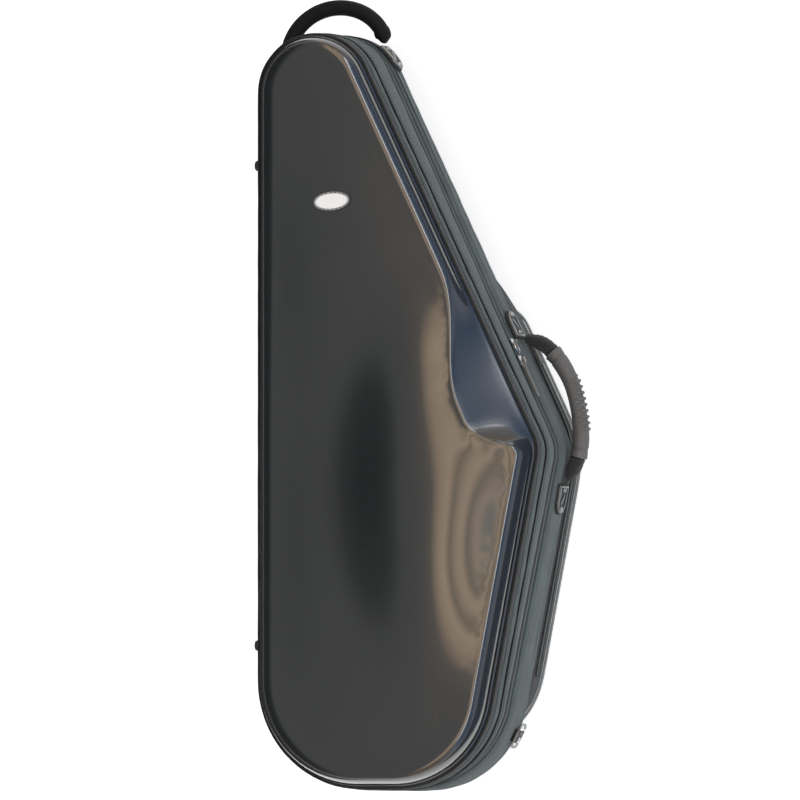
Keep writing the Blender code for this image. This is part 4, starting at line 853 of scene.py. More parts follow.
WELT_DROP = 0.0295
WELT_REACH = 0.0023
WELT_CORD_OUT = 0.0026
WELT_CORD_RADIUS = 0.0019
BACK_CORD_INSET = 0.0014
BACK_CORD_RADIUS = 0.0022
BINDING_AND_SHADE_RIPPLE = 0.0004
LID_RIPPLE = 0.0009
BASE_RIPPLE = 0.0010
LINING_RIPPLE = 0.0005
ZIP_HALF = 0.0085
LINING_FLOOR_Z = 0.0554
# The black binding under the shell's rim: its outer part is a real binding, and the rest of its depth is a
# black strip standing for the shadow gap there (painted shade).
BINDING_AND_SHADE_SECTION = section((
    RIM_Z, (-0.0030, -0.0004), (-0.0034, -0.0065), (-0.0030, -0.0128), (0.0012, -0.0129), (0.0028, -0.0118),
    (0.0033, -0.0065), (0.0036, 0.0004), (0.0026, 0.0022), (0.0008, 0.0018), (0.0005, -0.0004),
))
LID_SECTION = section(
    (RIM_Z, (-0.0033, -0.0136), (-0.0033, -0.0300)),
    (split_z, (-0.0033, 0.0088), (0.0010, 0.0088), (0.0026, 0.0098), (0.0036, 0.0128), (0.0043, 0.0196)),
    (RIM_Z, (0.0040, -WELT_DROP - 0.0075), (0.0030, -WELT_DROP - WELT_REACH), (0.0004, -WELT_DROP - 0.0018),
     (0.0004, -WELT_DROP + 0.0018), (0.0030, -WELT_DROP + WELT_REACH), (0.0037, -0.0210),
     (0.0030, -0.0150), (0.0014, -0.0136)),
)
BASE_SECTION = section(
    (split_z, (-0.0033, -0.0088)),
    (BACK_Z, (-0.0033, 0.0250), (-0.0033, 0.0030), (0.0020, 0.0028), (0.0040, 0.0050), (0.0046, 0.0110),
     (0.0036, 0.0155), (0.0044, 0.0195), (0.0047, 0.0290)),
    (split_z, (0.0042, -0.0170), (0.0034, -0.0122), (0.0022, -0.0096), (0.0008, -0.0088)),
)
BINDING_SEAM = section((RIM_Z, (0.0035, -0.0100)))
LID_SEAMS = section((RIM_Z, (0.0037, -0.0185), (0.0040, -0.0355)))
BASE_SEAMS = section((BACK_Z, (0.0036, 0.0156)), (split_z, (0.0043, -0.0150)))


def make_lid_bands(path):
    covers = ["lid_binding"]
    # Black binding, partly real and partly a black strip for the shadow under the rim: painted shade.
    sweep("rim_binding_and_shade", path, BINDING_AND_SHADE_SECTION, "binding_cloth", "lid", covers, ripple=BINDING_AND_SHADE_RIPPLE)
    sweep("lid_cloth", path, LID_SECTION, "band_cloth", "lid", ["lid_band"], ripple=LID_RIPPLE)
    place = (WELT_CORD_OUT, RIM_Z, -WELT_DROP)
    cord("welt_cord", path, place, WELT_CORD_RADIUS, "binding_cloth", "lid", ["lid_welt"])
    path_stitches("lid_seam_thread", LID_SEAMS, "thread", "lid", path)
    path_stitches("binding_thread", BINDING_SEAM, "dark_thread", "lid", path)


def make_base_bands(path):
    sweep("base_cloth", path, BASE_SECTION, "band_cloth", "base", ["base_band"], ripple=BASE_RIPPLE)
    place = (-BACK_CORD_INSET, BACK_Z, 0)
    cord("back_cord", path, place, BACK_CORD_RADIUS, "binding_cloth", "base", ["back_piping"])
    path_stitches("base_seam_thread", BASE_SEAMS, "thread", "base", path)


def make_linings(path):
    for half, (low, low_rise), (high, high_rise) in (
        ("lid", (split_z, 0.0006), (RIM_Z, -0.0006)),
        ("base", (LINING_FLOOR_Z, 0.0003), (split_z, -0.0006)),
    ):
        face = section(
            (high, (-0.0094, high_rise)),
            (low, (-0.0094, low_rise), (-0.0100, low_rise + 0.0002), (-0.0122, low_rise + 0.0010),
             (-0.0130, low_rise + 0.0060)),
            (high, (-0.0130, high_rise - 0.0060), (-0.0120, high_rise - 0.0008)),
        )
        covers = [half + "_lining"]
        sweep(half + "_plush", path, face, "plush_lining", half, covers, ripple=LINING_RIPPLE)
    dress(["lid_wall", "base_wall"], "hoop_foam")
    dress(["back_board"], "back_panel")


# Zips

COIL_PITCH = 0.0016
COIL_REACH = 0.0030
COIL_SEAM_GAP = 0.00015
COIL_THREAD = 0.0005
COIL_RISE = 0.0012
TOOTH_ROUTE = ((1.0, -0.55), (0.9, 0.35), (0.45, 0.85), (0.06, 0.35), (0.02, -0.35))
TOOTH_FLATNESS = 0.8
TAPE_INSET = 0.0031
COIL_CORD = ((-0.0003, 0.0008), (0.0003, 0.0008), (0.0003, 0.0026), (-0.0003, 0.0026))
HINGE_RISES = (0.130, 0.758)
HINGE_HALF = 0.013
HINGE_OUT = 0.0037
HINGE_THICKNESS = 0.0009
HINGE_PUFF = 0.0002
HINGE_PUFF_SCALES = (60, 90)
HINGE_STEPS = (64, 13)


def tooth(shape, spot, along, inward, out, reach, radius):
    """One loop of a zip's coil: up from the tape, over to the seam and back under."""
    rings = []
    for across, rise in TOOTH_ROUTE:
        centre = spot + inward * across * reach + out * rise * COIL_RISE
        rings.append(diamond(shape, centre, along * radius, out * radius * TOOTH_FLATNESS))
    for here, after in zip(rings, rings[1:]):
        bridge(shape, here, after)
    shape.faces.new(rings[0])
    shape.faces.new(rings[-1][::-1])


def make_zip_half(half, side, path):
    """A tape with its woven edge and the half coil's loops, round all but the spine."""
    near, far = side * TAPE_INSET, side * (ZIP_HALF - GAP)
    tape = section((
        split_z, (-0.0006, near), (0.0005, near), (0.0007, mix(near, far, 0.25)),
        (0.0004, mix(near, far, 0.5)), (0.0007, mix(near, far, 0.8)), (0.0006, far), (-0.0006, far),
    ))
    sweep(half + "_tape", path, tape, "zip_cloth", half, [half + "_zip_tape"], closed=False)
    points = [over(point, split_z, 0) for point, _ in path]
    shape = bmesh.new()
    shape.loops.layers.uv.new("cloth")
    for spot, along in spaced(points, COIL_PITCH):
        out = along.cross(UP).normalized()
        up = out.cross(along)
        offset = along * (COIL_PITCH / 2 if side > 0 else 0) + up * side * COIL_SEAM_GAP
        tooth(shape, spot + offset, along, up * side, out, COIL_REACH, COIL_THREAD)
    finish_piece(half + "_coil", shape, "zip_coil", half, [half + "_zip_coil"], 0, 0)
    core = [(outward, split_z, side * rise) for outward, rise in COIL_CORD]
    sweep(half + "_coil_cord", path, core, "zip_cloth", half, closed=False, levels=0)


def make_hinge_cloth():
    """The cloth hinge, one piece along the split."""
    rows = []
    x = ORIGIN.x - HINGE_OUT
    along, across = HINGE_PUFF_SCALES
    for y in spread(ORIGIN.y + HINGE_RISES[0], ORIGIN.y + HINGE_RISES[1], HINGE_STEPS[0]):
        front, back = [], []
        for rise in spread(-HINGE_HALF, HINGE_HALF, HINGE_STEPS[1]):
            puff = HINGE_PUFF * noise.noise(Vector((y * along, rise * across, 0)))
            front.append(Vector((x - HINGE_THICKNESS + puff, y, split_z(y) + rise)))
            back.append(Vector((x, y, split_z(y) + rise)))
        rows.append(front + back[::-1])
    hinge = finish_piece("hinge_cloth", lofted(rows), "binding_cloth", None)
    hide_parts("lid_hinge_cloth", "base_hinge_cloth")
    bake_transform(hinge)


# Back and pocket

POCKET_SPINE_INSET = 0.0140
POCKET_SIDE_INSET = 0.0005
POCKET_SEAM_INSET = 0.0050
POCKET_SWELL = 0.0022
POCKET_BOTTOM = 0.048
POCKET_TOP = 0.592
POCKET_TOP_SLANT = 0.085
POCKET_ROUND = 0.0130
POCKET_RADII = (0.060, 0.092, 0.120, 0.030, 0.030)
POCKET_STEPS = (10, 10, 8, 6, 6)
POCKET_BETWEEN = (14, 18, 10, 12, 20)
POCKET_TOP_Z = BACK_Z - GAP
CLOTH_CAP = 0.0032
PANEL_PITCH = 0.016
POCKET_SHARES = (0.0, 0.06, 0.14, 0.24, 0.34, 0.44, 0.54, 0.64, 0.71, 0.78, 0.84, 0.90, 0.95, 0.985, 1.0)
POCKET_FACE_SHARES = (0.12, 0.26, 0.42, 0.60, 0.80)
POCKET_CENTRE = (0.15, 0.55)
POCKET_SEAM_SHARE = 0.2
HELD_ROWS = (0, 5, 10)
HELD_FROM = 14
FLOOR_CLEARANCE = 0.0004
CLOTH_FRAMES = 16
CLOTH_PRESSURE = 3.0
CLOTH_STIFFNESS = (8, 4, 0.6)
POCKET_TAPE = (
    (0.0006, -0.0055), (0.0018, -0.0052), (0.0020, -0.0018), (0.0018, 0), (0.0020, 0.0018), (0.0018, 0.0052),
    (0.0006, 0.0055),
)
POCKET_CORD_OUT = 0.0021
POCKET_CORD_RADIUS = 0.0018
POCKET_ZIP_STEP = 0.006
POCKET_COIL_OUT = 0.0019
POCKET_COIL_PITCH = 0.0014
POCKET_COIL_REACH = 0.0014
POCKET_COIL_THREAD = 0.0004
PANEL_CORNER_STEPS = (10, 10, 6, 14)
PANEL_EDGE = ((0.0052, 0.0044), (0.0052, 0.0036), (0.0060, 0.0016), (0.0085, 0.0004), (0.016, 0.0002))
QUILT_RISE = 0.0004
QUILT_SWELL = 0.0005
QUILT_SCALE = 30


def pocket_outline(inset, top_drop):
    """The pocket's (point, normal) outline, drawn in by an inset and with its top edge lower."""
    slanted, lower = side_normal(2), side_normal(1)
    shoulder = case_corners()[2]
    on_slanted = shoulder - slanted * POCKET_SIDE_INSET
    on_lower = shoulder - lower * POCKET_SIDE_INSET
    low = ORIGIN + Vector((POCKET_SPINE_INSET, POCKET_BOTTOM))
    high = ORIGIN + Vector((POCKET_SPINE_INSET, POCKET_TOP - top_drop))
    level = Vector((0, 1))
    corners = [low, meet(low, level, on_lower, lower), meet(on_lower, lower, on_slanted, slanted)]
    corners += [meet(high, level, on_slanted, slanted), high]
    path = rounded_path(corners, POCKET_RADII, POCKET_STEPS)
    made = []
    at = 0
    for count, between in zip(POCKET_STEPS, POCKET_BETWEEN):
        made += path[at:at + count + 1]
        at += count + 1
        point, normal = made[-1]
        after = path[at % len(path)][0]
        made += [(point.lerp(after, k / (between + 1)), normal) for k in range(1, between + 1)]
    return [(point - normal * inset, normal) for point, normal in made]


def pocket_level(share):
    """How far the pocket is drawn in, and how far its top edge has moved, down the gusset."""
    z = POCKET_TOP_Z * (1 - share)
    turn = max(0.0, (POCKET_ROUND - z) / POCKET_ROUND)
    rolled = POCKET_ROUND * (1 - math.sqrt(max(0.0, 1 - turn * turn)))
    seam = POCKET_SEAM_INSET * (1 - ease(share, 0, POCKET_SEAM_SHARE))
    return z, seam + rolled - POCKET_SWELL * math.sin(math.pi * share), POCKET_TOP_SLANT * share


def pocket_rows():
    """Rings of points down the pocket's gusset, and then inward over its back face."""
    rows = []
    for share in POCKET_SHARES:
        z, inset, top_drop = pocket_level(share)
        rows.append([raised(point, max(z, FLOOR_CLEARANCE)) for point, _ in pocket_outline(inset, top_drop)])
    rim = rows[-1]
    middle = sum(rim, Vector()) / len(rim)
    for share in POCKET_FACE_SHARES:
        row = []
        for spot in rim:
            x, y = mix(middle.x, spot.x, POCKET_CENTRE[0]), mix(middle.y, spot.y, POCKET_CENTRE[1])
            row.append(spot.lerp(Vector((x, y, spot.z)), share))
        rows.append(row)
    return rows


def make_pocket():
    """The soft pocket: a gusset and a back face, swollen by a cloth simulation."""
    rows = pocket_rows()
    shape = lofted(rows)
    bmesh.ops.triangulate(shape, faces=list(shape.faces)[-2:])
    obj = finish_piece("pocket_bag", shape, "pocket_nylon", None, (), 0, 0)
    held = obj.vertex_groups.new(name="held")
    for index in range(len(obj.data.vertices)):
        row = index // len(rows[0])
        held.add([index], 1.0 if row in HELD_ROWS or row >= HELD_FROM else 0.0, "REPLACE")
    swell(obj)
    for vert in obj.data.vertices:
        vert.co.z = min(max(vert.co.z, FLOOR_CLEARANCE), POCKET_TOP_Z)
    soften(obj, 1)
    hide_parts("pocket_body")
    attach(obj, "base")


def swell(obj):
    """Cloth under pressure, with its seams held, kept within a small swelling."""
    start = [vert.co.copy() for vert in obj.data.vertices]
    modifier = obj.modifiers.new("cloth", "CLOTH")
    settings = modifier.settings
    settings.use_pressure = True
    settings.uniform_pressure_force = CLOTH_PRESSURE
    settings.vertex_group_mass = "held"
    settings.tension_stiffness, settings.compression_stiffness, settings.bending_stiffness = CLOTH_STIFFNESS
    settings.effector_weights.gravity = 0
    scene = bpy.context.scene
    for index in range(1, CLOTH_FRAMES + 1):
        scene.frame_set(index)
    bpy.context.view_layer.update()
    evaluated = obj.evaluated_get(bpy.context.evaluated_depsgraph_get())
    moved = [vert.co.copy() for vert in evaluated.data.vertices]
    obj.modifiers.remove(modifier)
    scene.frame_set(1)
    for vert, before, after in zip(obj.data.vertices, start, moved):
        shift = after - before
        if shift.length > CLOTH_CAP:
            shift *= CLOTH_CAP / shift.length
        vert.co = before + shift


def make_pocket_trim():
    """Piping round the pocket's lower edge, and the gusset's zip with its coil."""
    z, inset, top_drop = pocket_level(1 - POCKET_ROUND / POCKET_TOP_Z)
    outline = pocket_outline(inset, top_drop)
    place = (POCKET_CORD_OUT, z, 0)
    cord("pocket_cord", outline, place, POCKET_CORD_RADIUS, "piping", "base", ["pocket_piping"])
    make_pocket_zip()


def make_pocket_zip():
    low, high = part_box("pocket_zip")
    z = (low[2] + high[2]) / 2
    _, inset, top_drop = pocket_level(1 - z / POCKET_TOP_Z)
    outline = pocket_outline(inset, top_drop)
    path = [(point, normal) for point, normal in outline if normal.x > 0.5 and low[1] < point.y < high[1]]
    path = evenly(path, POCKET_ZIP_STEP, False)
    tape = section((z, *POCKET_TAPE))
    sweep("pocket_tape", path, tape, "zip_cloth", "base", ["pocket_zip"], closed=False)
    points = [raised(point + normal * POCKET_COIL_OUT, z) for point, normal in path]
    shape = bmesh.new()
    shape.loops.layers.uv.new("cloth")
    for spot, along in spaced(points, POCKET_COIL_PITCH):
        out = along.cross(UP).normalized()
        for side in (-1, 1):
            shift = along * (POCKET_COIL_PITCH / 2 if side > 0 else 0)
            tooth(shape, spot + shift, along, UP * side, out, POCKET_COIL_REACH, POCKET_COIL_THREAD)
    finish_piece("pocket_coil", shape, "zip_coil", "base", (), 0, 0)


def make_back_panel():
    """The padded panel behind the pocket, with a quilted swell."""
    def quilted(spot):
        return BACK_Z + (QUILT_RISE + QUILT_SWELL * noise.noise(raised(spot, 0) * QUILT_SCALE))

    path = evenly(rounded_path(case_corners(), CORNER_RADII, PANEL_CORNER_STEPS), PANEL_PITCH)
    rows = []
    for inward, rise in PANEL_EDGE:
        rows.append([raised(point - normal * inward, BACK_Z + rise) for point, normal in path])
    shape = bmesh.new()
    verts = grid(shape, rows, False, True)
    shape.faces.new(verts[0])
    net(shape, verts[-1], PANEL_PITCH, quilted)
    panel = finish_piece("back_pad", shape, "pocket_nylon", "base", ["back_cover"], 1)


# Interior

BED_GRAIN = 0.0042
BED_SWELL = 0.0006
BED_SWELL_FROM = 0.062
BED_SWELL_SCALE = 45
BED_ROLL_SHARE = 0.6
BED_ROLL_ROUNDS = 8
HOLD_STRAP_RISE = 0.540
HOLD_STRAP_ENDS = (0.0148, 0.1600)
HOLD_STRAP_LIFT = 0.0028
HOLD_STRAP_HALF = 0.0188
HOLD_STRAP_THICKNESS = 0.0021
HOLD_STRAP_SAG = 0.0022
BED_RECESS = 0.0060
WEBBING = (
    (-1, 0.1), (-0.96, 1), (-0.5, 0.9), (0, 1), (0.5, 0.9), (0.96, 1), (1, 0.1), (0.96, -0.05), (0, 0),
    (-0.96, -0.05),
)
STRAP_SEAM = (-0.017, 0, 0.017)
STRAP_SEAM_RISE = 0.0022
STRAP_SEAM_PLACES = ((0.002, 0.007), (-0.004, -0.026))
STRAP_SAG_SHARES = (0.06, 0.80)
STRAP_STEPS = 49


def make_foam_bed():
    """The bed's plush skin: the solid remeshed and smoothed, so that its edges roll over."""
    data = NODES["foam_bed"].data.copy()
    data.materials.clear()
    data.materials.append(MATERIALS["plush_lining"])
    bed = new_object("bed_plush", data)
    remesh = bed.modifiers.new("even", "REMESH")
    remesh.mode = "VOXEL"
    remesh.voxel_size = BED_GRAIN
    rolled = bed.modifiers.new("rolled", "SMOOTH")
    rolled.factor = BED_ROLL_SHARE
    rolled.iterations = BED_ROLL_ROUNDS
    graph = bpy.context.evaluated_depsgraph_get()
    bpy.context.view_layer.update()
    made = bpy.data.meshes.new_from_object(bed.evaluated_get(graph))
    bed.modifiers.clear()
    bed.data = made
    made.shade_smooth()
    for vert in made.vertices:
        if vert.co.z > BED_SWELL_FROM:
            vert.co.z += BED_SWELL * noise.noise(vert.co * BED_SWELL_SCALE)
    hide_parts("foam_bed")
    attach(bed, "base")


def make_hold_strap():
    """The webbing strap, slack over the recess, and the grip patches under its ends."""
    y = ORIGIN.y + HOLD_STRAP_RISE
    left, right = ORIGIN.x + HOLD_STRAP_ENDS[0], ORIGIN.x + HOLD_STRAP_ENDS[1]
    top = split_z(y) - BED_RECESS + HOLD_STRAP_LIFT
    rows = []
    for share in spread(0, 1, STRAP_STEPS):
        hang = HOLD_STRAP_SAG * math.sin(math.pi * ease(share, *STRAP_SAG_SHARES)) ** 2
        row = []
        for side, rise in WEBBING:
            across = side * HOLD_STRAP_HALF
            level = top - SPLIT_SLOPE * across - hang + rise * HOLD_STRAP_THICKNESS
            row.append(Vector((mix(left, right, share), y + across, level)))
        rows.append(row)
    finish_piece("strap_webbing", lofted(rows), "binding_cloth", "base", ["hold_strap"], 0, 50)
    dress(["hold_strap_patch_spine", "hold_strap_patch_side"], "sleeve_cloth", 0.0005)
    runs = []
    for end, places in zip((left, right), STRAP_SEAM_PLACES):
        for x in (end + place for place in places):
            level = top + STRAP_SEAM_RISE
            points = [Vector((x, y + across, level - SPLIT_SLOPE * across)) for across in STRAP_SEAM]
            runs.append((points, [UP] * len(points)))
    stitches("strap_thread", runs, "dark_thread", "base")


# Plates and handles

PLATE_LEAST_SHARE = 0.10
PATCH_STEPS = (47, 33)
RIM_LEVEL = 0.0008
RIM_ROLL = 0.0013
RIM_ROLL_WIDTH = 0.0010
FIELD_DROP = 0.0014
FIELD_EDGES = (0.0018, 0.0028)
LEAF_LEVEL = 0.0007
LEAF_RISE = 0.0014
LEAF_HALVES = (0.0075, 0.0022)
LEAF_WAVE = 0.0030
LEAF_TURNS = 330
VEIN_DROP = 0.0005
VEIN_HALVES = (0.0050, 0.0006)
RIVET_SPREAD = 1.35
RIVET_SEAT = 0.0022
RIVET_RISE = 0.0011
RIVET_RING_SHARE = 1.25
RIVET_RING_LEVEL = 0.0013
PAD_EDGE_SHARE = 0.35
PAD_EDGE_WIDTH = 0.0015
TOP_TAB_RADII = (0.0034, 0.0050)
TOP_TAB_SHARE = 0.026
TOP_FLATNESS = 0.94
TOP_WRAP = 0.0007
TOP_WRAP_START = (0.030, 0.036)
TOP_WRAP_END = (0.072, 0.078)
TOP_CREASE = 0.0004
TOP_CREASE_AT = 0.080
TOP_CREASE_HALF = 0.006
TOP_STEPS = 121
TOP_UNSEWN = 12
TOP_STITCH = (0.0036, 0.0026, 0.0008)
THREAD_GAP = 0.0001
HANDLE_REACH = 0.004
GRIP_SIDES = 32
GRIP_STEPS = 150
GRIP_END_SHARE = 0.002
GRIP_FLATNESS = 0.96
GRIP_FLANGE = 0.0007
GRIP_FLANGE_SHARE = 0.045
GRIP_GROOVE_AT = 0.075
GRIP_GROOVE_HALF = 0.02
GRIP_RIB = 0.0024
GRIP_RIBS = 19
GRIP_RIBS_START = (0.26, 0.30)
GRIP_RIBS_END = (0.74, 0.78)
SLEEVE_RADII = (0.0086, 0.0088)
SLEEVE_ROOTS = ((0.0060, 0.0074), (0.0040, 0.0064))
SLEEVE_STARTS = (0.022, 0.975)
SLEEVE_FOLD = 0.0004
SLEEVE_HEM = 0.0005
SLEEVE_SEAM = 0.0003
STRAP_END_SHARES = (("upper", 0.0, 0.075), ("lower", 0.925, 1.0))
STRAP_END_RADII = (0.0017, 0.0060)


def straight_rule(normal, rise):
    base = on_side(normal, rise)
    return lambda run: (base + turned_left(normal) * run, normal)


def arc_rule(angle):
    centre = corner_frame(case_corners(), 3, TOP_RADIUS)[2]

    def spot(run):
        normal = direction(angle + run / (TOP_RADIUS + BAND_PROUD))
        return centre + normal * TOP_RADIUS, normal

    return spot


def plate_edge(run, half, reach):
    """Half width of a plate at a distance along it: a straight end, and a leaf-shaped one."""
    bend = reach - half
    if run <= bend:
        return half
    turn = min(1.0, (run - bend) / half)
    return half * max(PLATE_LEAST_SHARE, math.sqrt(max(0.0, 1 - turn * turn)))


def wall_patch(name, seat, half, reach, low, height, material, covers):
    """A patch on the case's wall from a straight end to a round one, with heights by a rule."""
    rule, facing, z = seat
    rows, heights = [], []
    for run in spread(-reach, reach, PATCH_STEPS[0]):
        point, normal = rule(run * facing)
        width = plate_edge(run, half, reach)
        row = []
        for across in spread(-width, width, PATCH_STEPS[1]):
            heights.append(height(run, across, min(width - abs(across), reach - abs(run))))
            row.append(raised(point + normal * (low + heights[-1]), z + across))
        for side in (1, -1):
            heights.append(PLATE_THICKNESS)
            row.append(raised(point + normal * low, z + side * width))
        rows.append(row)
    patch = finish_piece(name, lofted(rows), material, "base", covers, 0, 60)
    relief = patch.data.attributes.new("relief", "FLOAT", "POINT")
    relief.data.foreach_set("value", heights)


def plate_height(run, across, edge):
    """Stamping of a plate: a rolled rim round a sunk field, two curved leaves and two rivet heads."""
    level = RIM_LEVEL + RIM_ROLL * ease(edge, 0, RIM_ROLL_WIDTH) - FIELD_DROP * ease(edge, *FIELD_EDGES)
    bend = across - LEAF_WAVE * math.sin(run * LEAF_TURNS)
    leaf = 1 - ease(math.hypot(run / LEAF_HALVES[0], bend / LEAF_HALVES[1]), 0.65, 1.0)
    vein = 1 - ease(math.hypot(run / VEIN_HALVES[0], bend / VEIN_HALVES[1]), 0.5, 1.0)
    level = max(level, LEAF_LEVEL + LEAF_RISE * leaf - VEIN_DROP * vein)
    for side in (-1, 1):
        off = math.hypot(run - side * PLATE_LENGTH * RIVET_SHARE * RIVET_SPREAD, across)
        if off < RIVET_RADIUS:
            level = RIVET_SEAT + RIVET_RISE * math.sqrt(1 - (off / RIVET_RADIUS) ** 2)
        elif off < RIVET_RADIUS * RIVET_RING_SHARE:
            level = min(level, RIVET_RING_LEVEL)
    return level


def pad_height(_run, _across, edge):
    return PAD_THICKNESS * mix(PAD_EDGE_SHARE, 1, ease(edge, 0, PAD_EDGE_WIDTH))


def make_plates():
    away = PLATE_LENGTH / 2 / (TOP_RADIUS + BAND_PROUD) + ROOT_STEP / (TOP_RADIUS + ROOT_LIFT)
    reach = PLATE_LENGTH / 2
    slanted, lower = side_normal(2), side_normal(1)
    upper_rise = SHOULDER_RISE + SIDE_ROOT_LIFTS[0] + (reach + ROOT_STEP) * slanted.x
    lower_rise = SHOULDER_RISE + SIDE_ROOT_LIFTS[1] - (reach + ROOT_STEP) * lower.x
    for name, width, *seat in (
        ("top_plate_side", TOP_PLATE_WIDTH, arc_rule(TOP_ANGLES[0] - away), -1, TOP_HANDLE_Z),
        ("top_plate_spine", TOP_PLATE_WIDTH, arc_rule(TOP_ANGLES[1] + away), 1, TOP_HANDLE_Z),
        ("side_plate_upper", SIDE_PLATE_WIDTH, straight_rule(slanted, upper_rise), 1, SIDE_HANDLE_Z),
        ("side_plate_lower", SIDE_PLATE_WIDTH, straight_rule(lower, lower_rise), -1, SIDE_HANDLE_Z),
    ):
        for ending, margin, low, height, material, covers in (
            ("_stamped", 0, PLATE_LOW, plate_height, "plate_stamped", [name]),
            ("_rubber", PAD_MARGIN, PAD_LOW, pad_height, "pad_rubber", [name + "_pad"]),
        ):
            half = width / 2 + margin
            wall_patch(name + ending, seat, half, reach + margin, low, height, material, covers)


def smooth_route(points, steps):
    route = []
    last = len(points) - 1
    for i in range(last):
        a, b = points[i], points[i + 1]
        lead = (b - points[max(i - 1, 0)]) / 2
        trail = (points[min(i + 2, last)] - a) / 2
        for k in range(steps):
            t = k / steps
            spot = a * (2 * t**3 - 3 * t**2 + 1) + b * (3 * t**2 - 2 * t**3)
            route.append(spot + lead * (t**3 - 2 * t**2 + t) + trail * (t**3 - t**2))
    return route + [points[-1]]


def along_route(route, share):
    left = share * sum((b - a).length for a, b in zip(route, route[1:]))
    for start, end in zip(route, route[1:]):
        length = (end - start).length
        if left <= length:
            return start.lerp(end, left / length)
        left -= length
    return route[-1].copy()


def across_route(spot, share):
    """The level way across a handle's run at a share of it, from the rule for its points."""
    ahead, behind = spot(min(1, share + HANDLE_REACH)), spot(max(0, share - HANDLE_REACH))
    return (ahead - behind).normalized().cross(UP).normalized()


def handle_stations(spot, shares, radii):
    """Stations along a handle, from rules for its point and its radii (across, up) at a share."""
    return [(spot(share), across_route(spot, share), *radii(share)) for share in shares]


def top_spot(share):
    angle = mix(*TOP_ANGLES, share)
    rise = TOP_ARCH_RISE * max(0.0, math.sin(math.pi * share)) ** TOP_ARCH_SHARE
    centre = corner_frame(case_corners(), 3, TOP_RADIUS)[2]
    return raised(centre + direction(angle) * (TOP_RADIUS + ROOT_LIFT + rise), TOP_HANDLE_Z)


def top_radii(share):
    """Flat tabs at the handle's ends, which swell into the round padded grip."""
    end = min(share, 1 - share)
    full = ease(end, 0.0, TOP_TAB_SHARE)
    wrap = TOP_WRAP * ease(end, *TOP_WRAP_START) * (1 - ease(end, *TOP_WRAP_END))
    crease = TOP_CREASE * (1 - ease(abs(end - TOP_CREASE_AT), 0.0, TOP_CREASE_HALF))
    wide = mix(TOP_TAB_RADII[0], TOP_GRIP_RADIUS, full) + wrap - crease
    return wide, mix(TOP_TAB_RADII[1], TOP_GRIP_RADIUS * TOP_FLATNESS, full) + wrap - crease


def make_top_handle():
    covers = ["top_handle_grip", "top_handle_tab_side", "top_handle_tab_spine"]
    stations = handle_stations(top_spot, spread(0.0, 1.0, TOP_STEPS), top_radii)
    grip = tube("top_handle_leather", stations, "handle_leather", "top_handle", covers, 24)
    sewn = stations[TOP_UNSEWN:-TOP_UNSEWN]
    inner = [point - across * (wide + THREAD_GAP) for point, across, wide, _ in sewn]
    run = (inner, [-across for _, across, _, _ in sewn])
    stitches("top_handle_thread", [run], "dark_thread", "top_handle", *TOP_STITCH)


def beside_shoulder(lift, reach):
    """A point that is out of the side over the shoulder, or of the side under it."""
    normal = side_normal(2 if lift > 0 else 1)
    return on_side(normal, SHOULDER_RISE + lift) + normal * reach


def side_route():
    roots = [beside_shoulder(lift, ROOT_LIFT) for lift in SIDE_ROOT_LIFTS]
    spots = [beside_shoulder(*spot) for spot in SIDE_HANDLE_ROUTE]
    return smooth_route([raised(spot, SIDE_HANDLE_Z) for spot in (roots[0], *spots, roots[1])], 24)


def make_side_grip(spot):
    """The moulded grip: flanged ends, a smooth inner side and ribs on its outer side."""
    low, high = SIDE_GRIP_SHARES
    rows = []
    for share in spread(low + GRIP_END_SHARE, high - GRIP_END_SHARE, GRIP_STEPS):
        across = across_route(spot, share)
        if across.x < 0:
            across = -across
        at = (share - low) / (high - low)
        end = min(at, 1 - at)
        base = SIDE_GRIP_RADIUS * (0.90 + 0.10 * ease(abs(at - 0.5), 0.08, 0.42))
        flange = 1 - ease(end, 0.0, GRIP_FLANGE_SHARE)
        groove = 1 - ease(abs(end - GRIP_GROOVE_AT), 0.0, GRIP_GROOVE_HALF)
        base += GRIP_FLANGE * flange - GRIP_FLANGE * groove
        rib = ease(math.sin(2 * math.pi * at * GRIP_RIBS), -0.2, 0.5)
        rib = rib * ease(at, *GRIP_RIBS_START) * (1 - ease(at, *GRIP_RIBS_END))
        row = []
        for spoke in spokes(GRIP_SIDES):
            radius = base + GRIP_RIB * rib * ease(spoke.x, 0.25, 0.75)
            row.append(spot(share) + across * spoke.x * radius + UP * spoke.y * radius * GRIP_FLATNESS)
        rows.append(row)
    finish_piece("grip_moulding", lofted(rows), "grip_rubber", "side_handle", ["side_handle_grip"], 0, 45)


def make_sleeve(name, spot, strap, grip, root):
    """A cloth sleeve that gathers from the grip onto the flat strap in the plate's knuckle."""
    def radii(share):
        at = (share - strap) / (grip - strap)
        full = ease(at, 0.0, 0.50)
        fold = SLEEVE_FOLD * math.sin(at * 46) * (1 - at * 0.6)
        hem = SLEEVE_HEM * (1 - ease(abs(at - 0.92), 0.0, 0.05))
        hem -= SLEEVE_SEAM * (1 - ease(abs(at - 0.84), 0.0, 0.03))
        wide, high = (mix(small, large, full) for small, large in zip(root, SLEEVE_RADII))
        return wide + (hem + fold), high + hem - fold

    stations = handle_stations(spot, spread(strap, grip, 40), radii)
    tube(name, stations, "sleeve_cloth", "side_handle", [name.replace("cloth", "sleeve")], 20)


def make_side_handle():
    route = side_route()

    def spot(share):
        return along_route(route, share)

    make_side_grip(spot)
    names = ("side_cloth_upper", "side_cloth_lower")
    for name, start, end, root in zip(names, SLEEVE_STARTS, SIDE_GRIP_SHARES, SLEEVE_ROOTS):
        make_sleeve(name, spot, start, end, root)
    for name, start, end in STRAP_END_SHARES:
        stations = handle_stations(spot, spread(start, end, 9), lambda share: STRAP_END_RADII)
        covers = ["side_handle_tab_" + name]
        tube("side_strap_" + name, stations, "sleeve_cloth", "side_handle", covers, 12)


# Feet, metal trim and badge

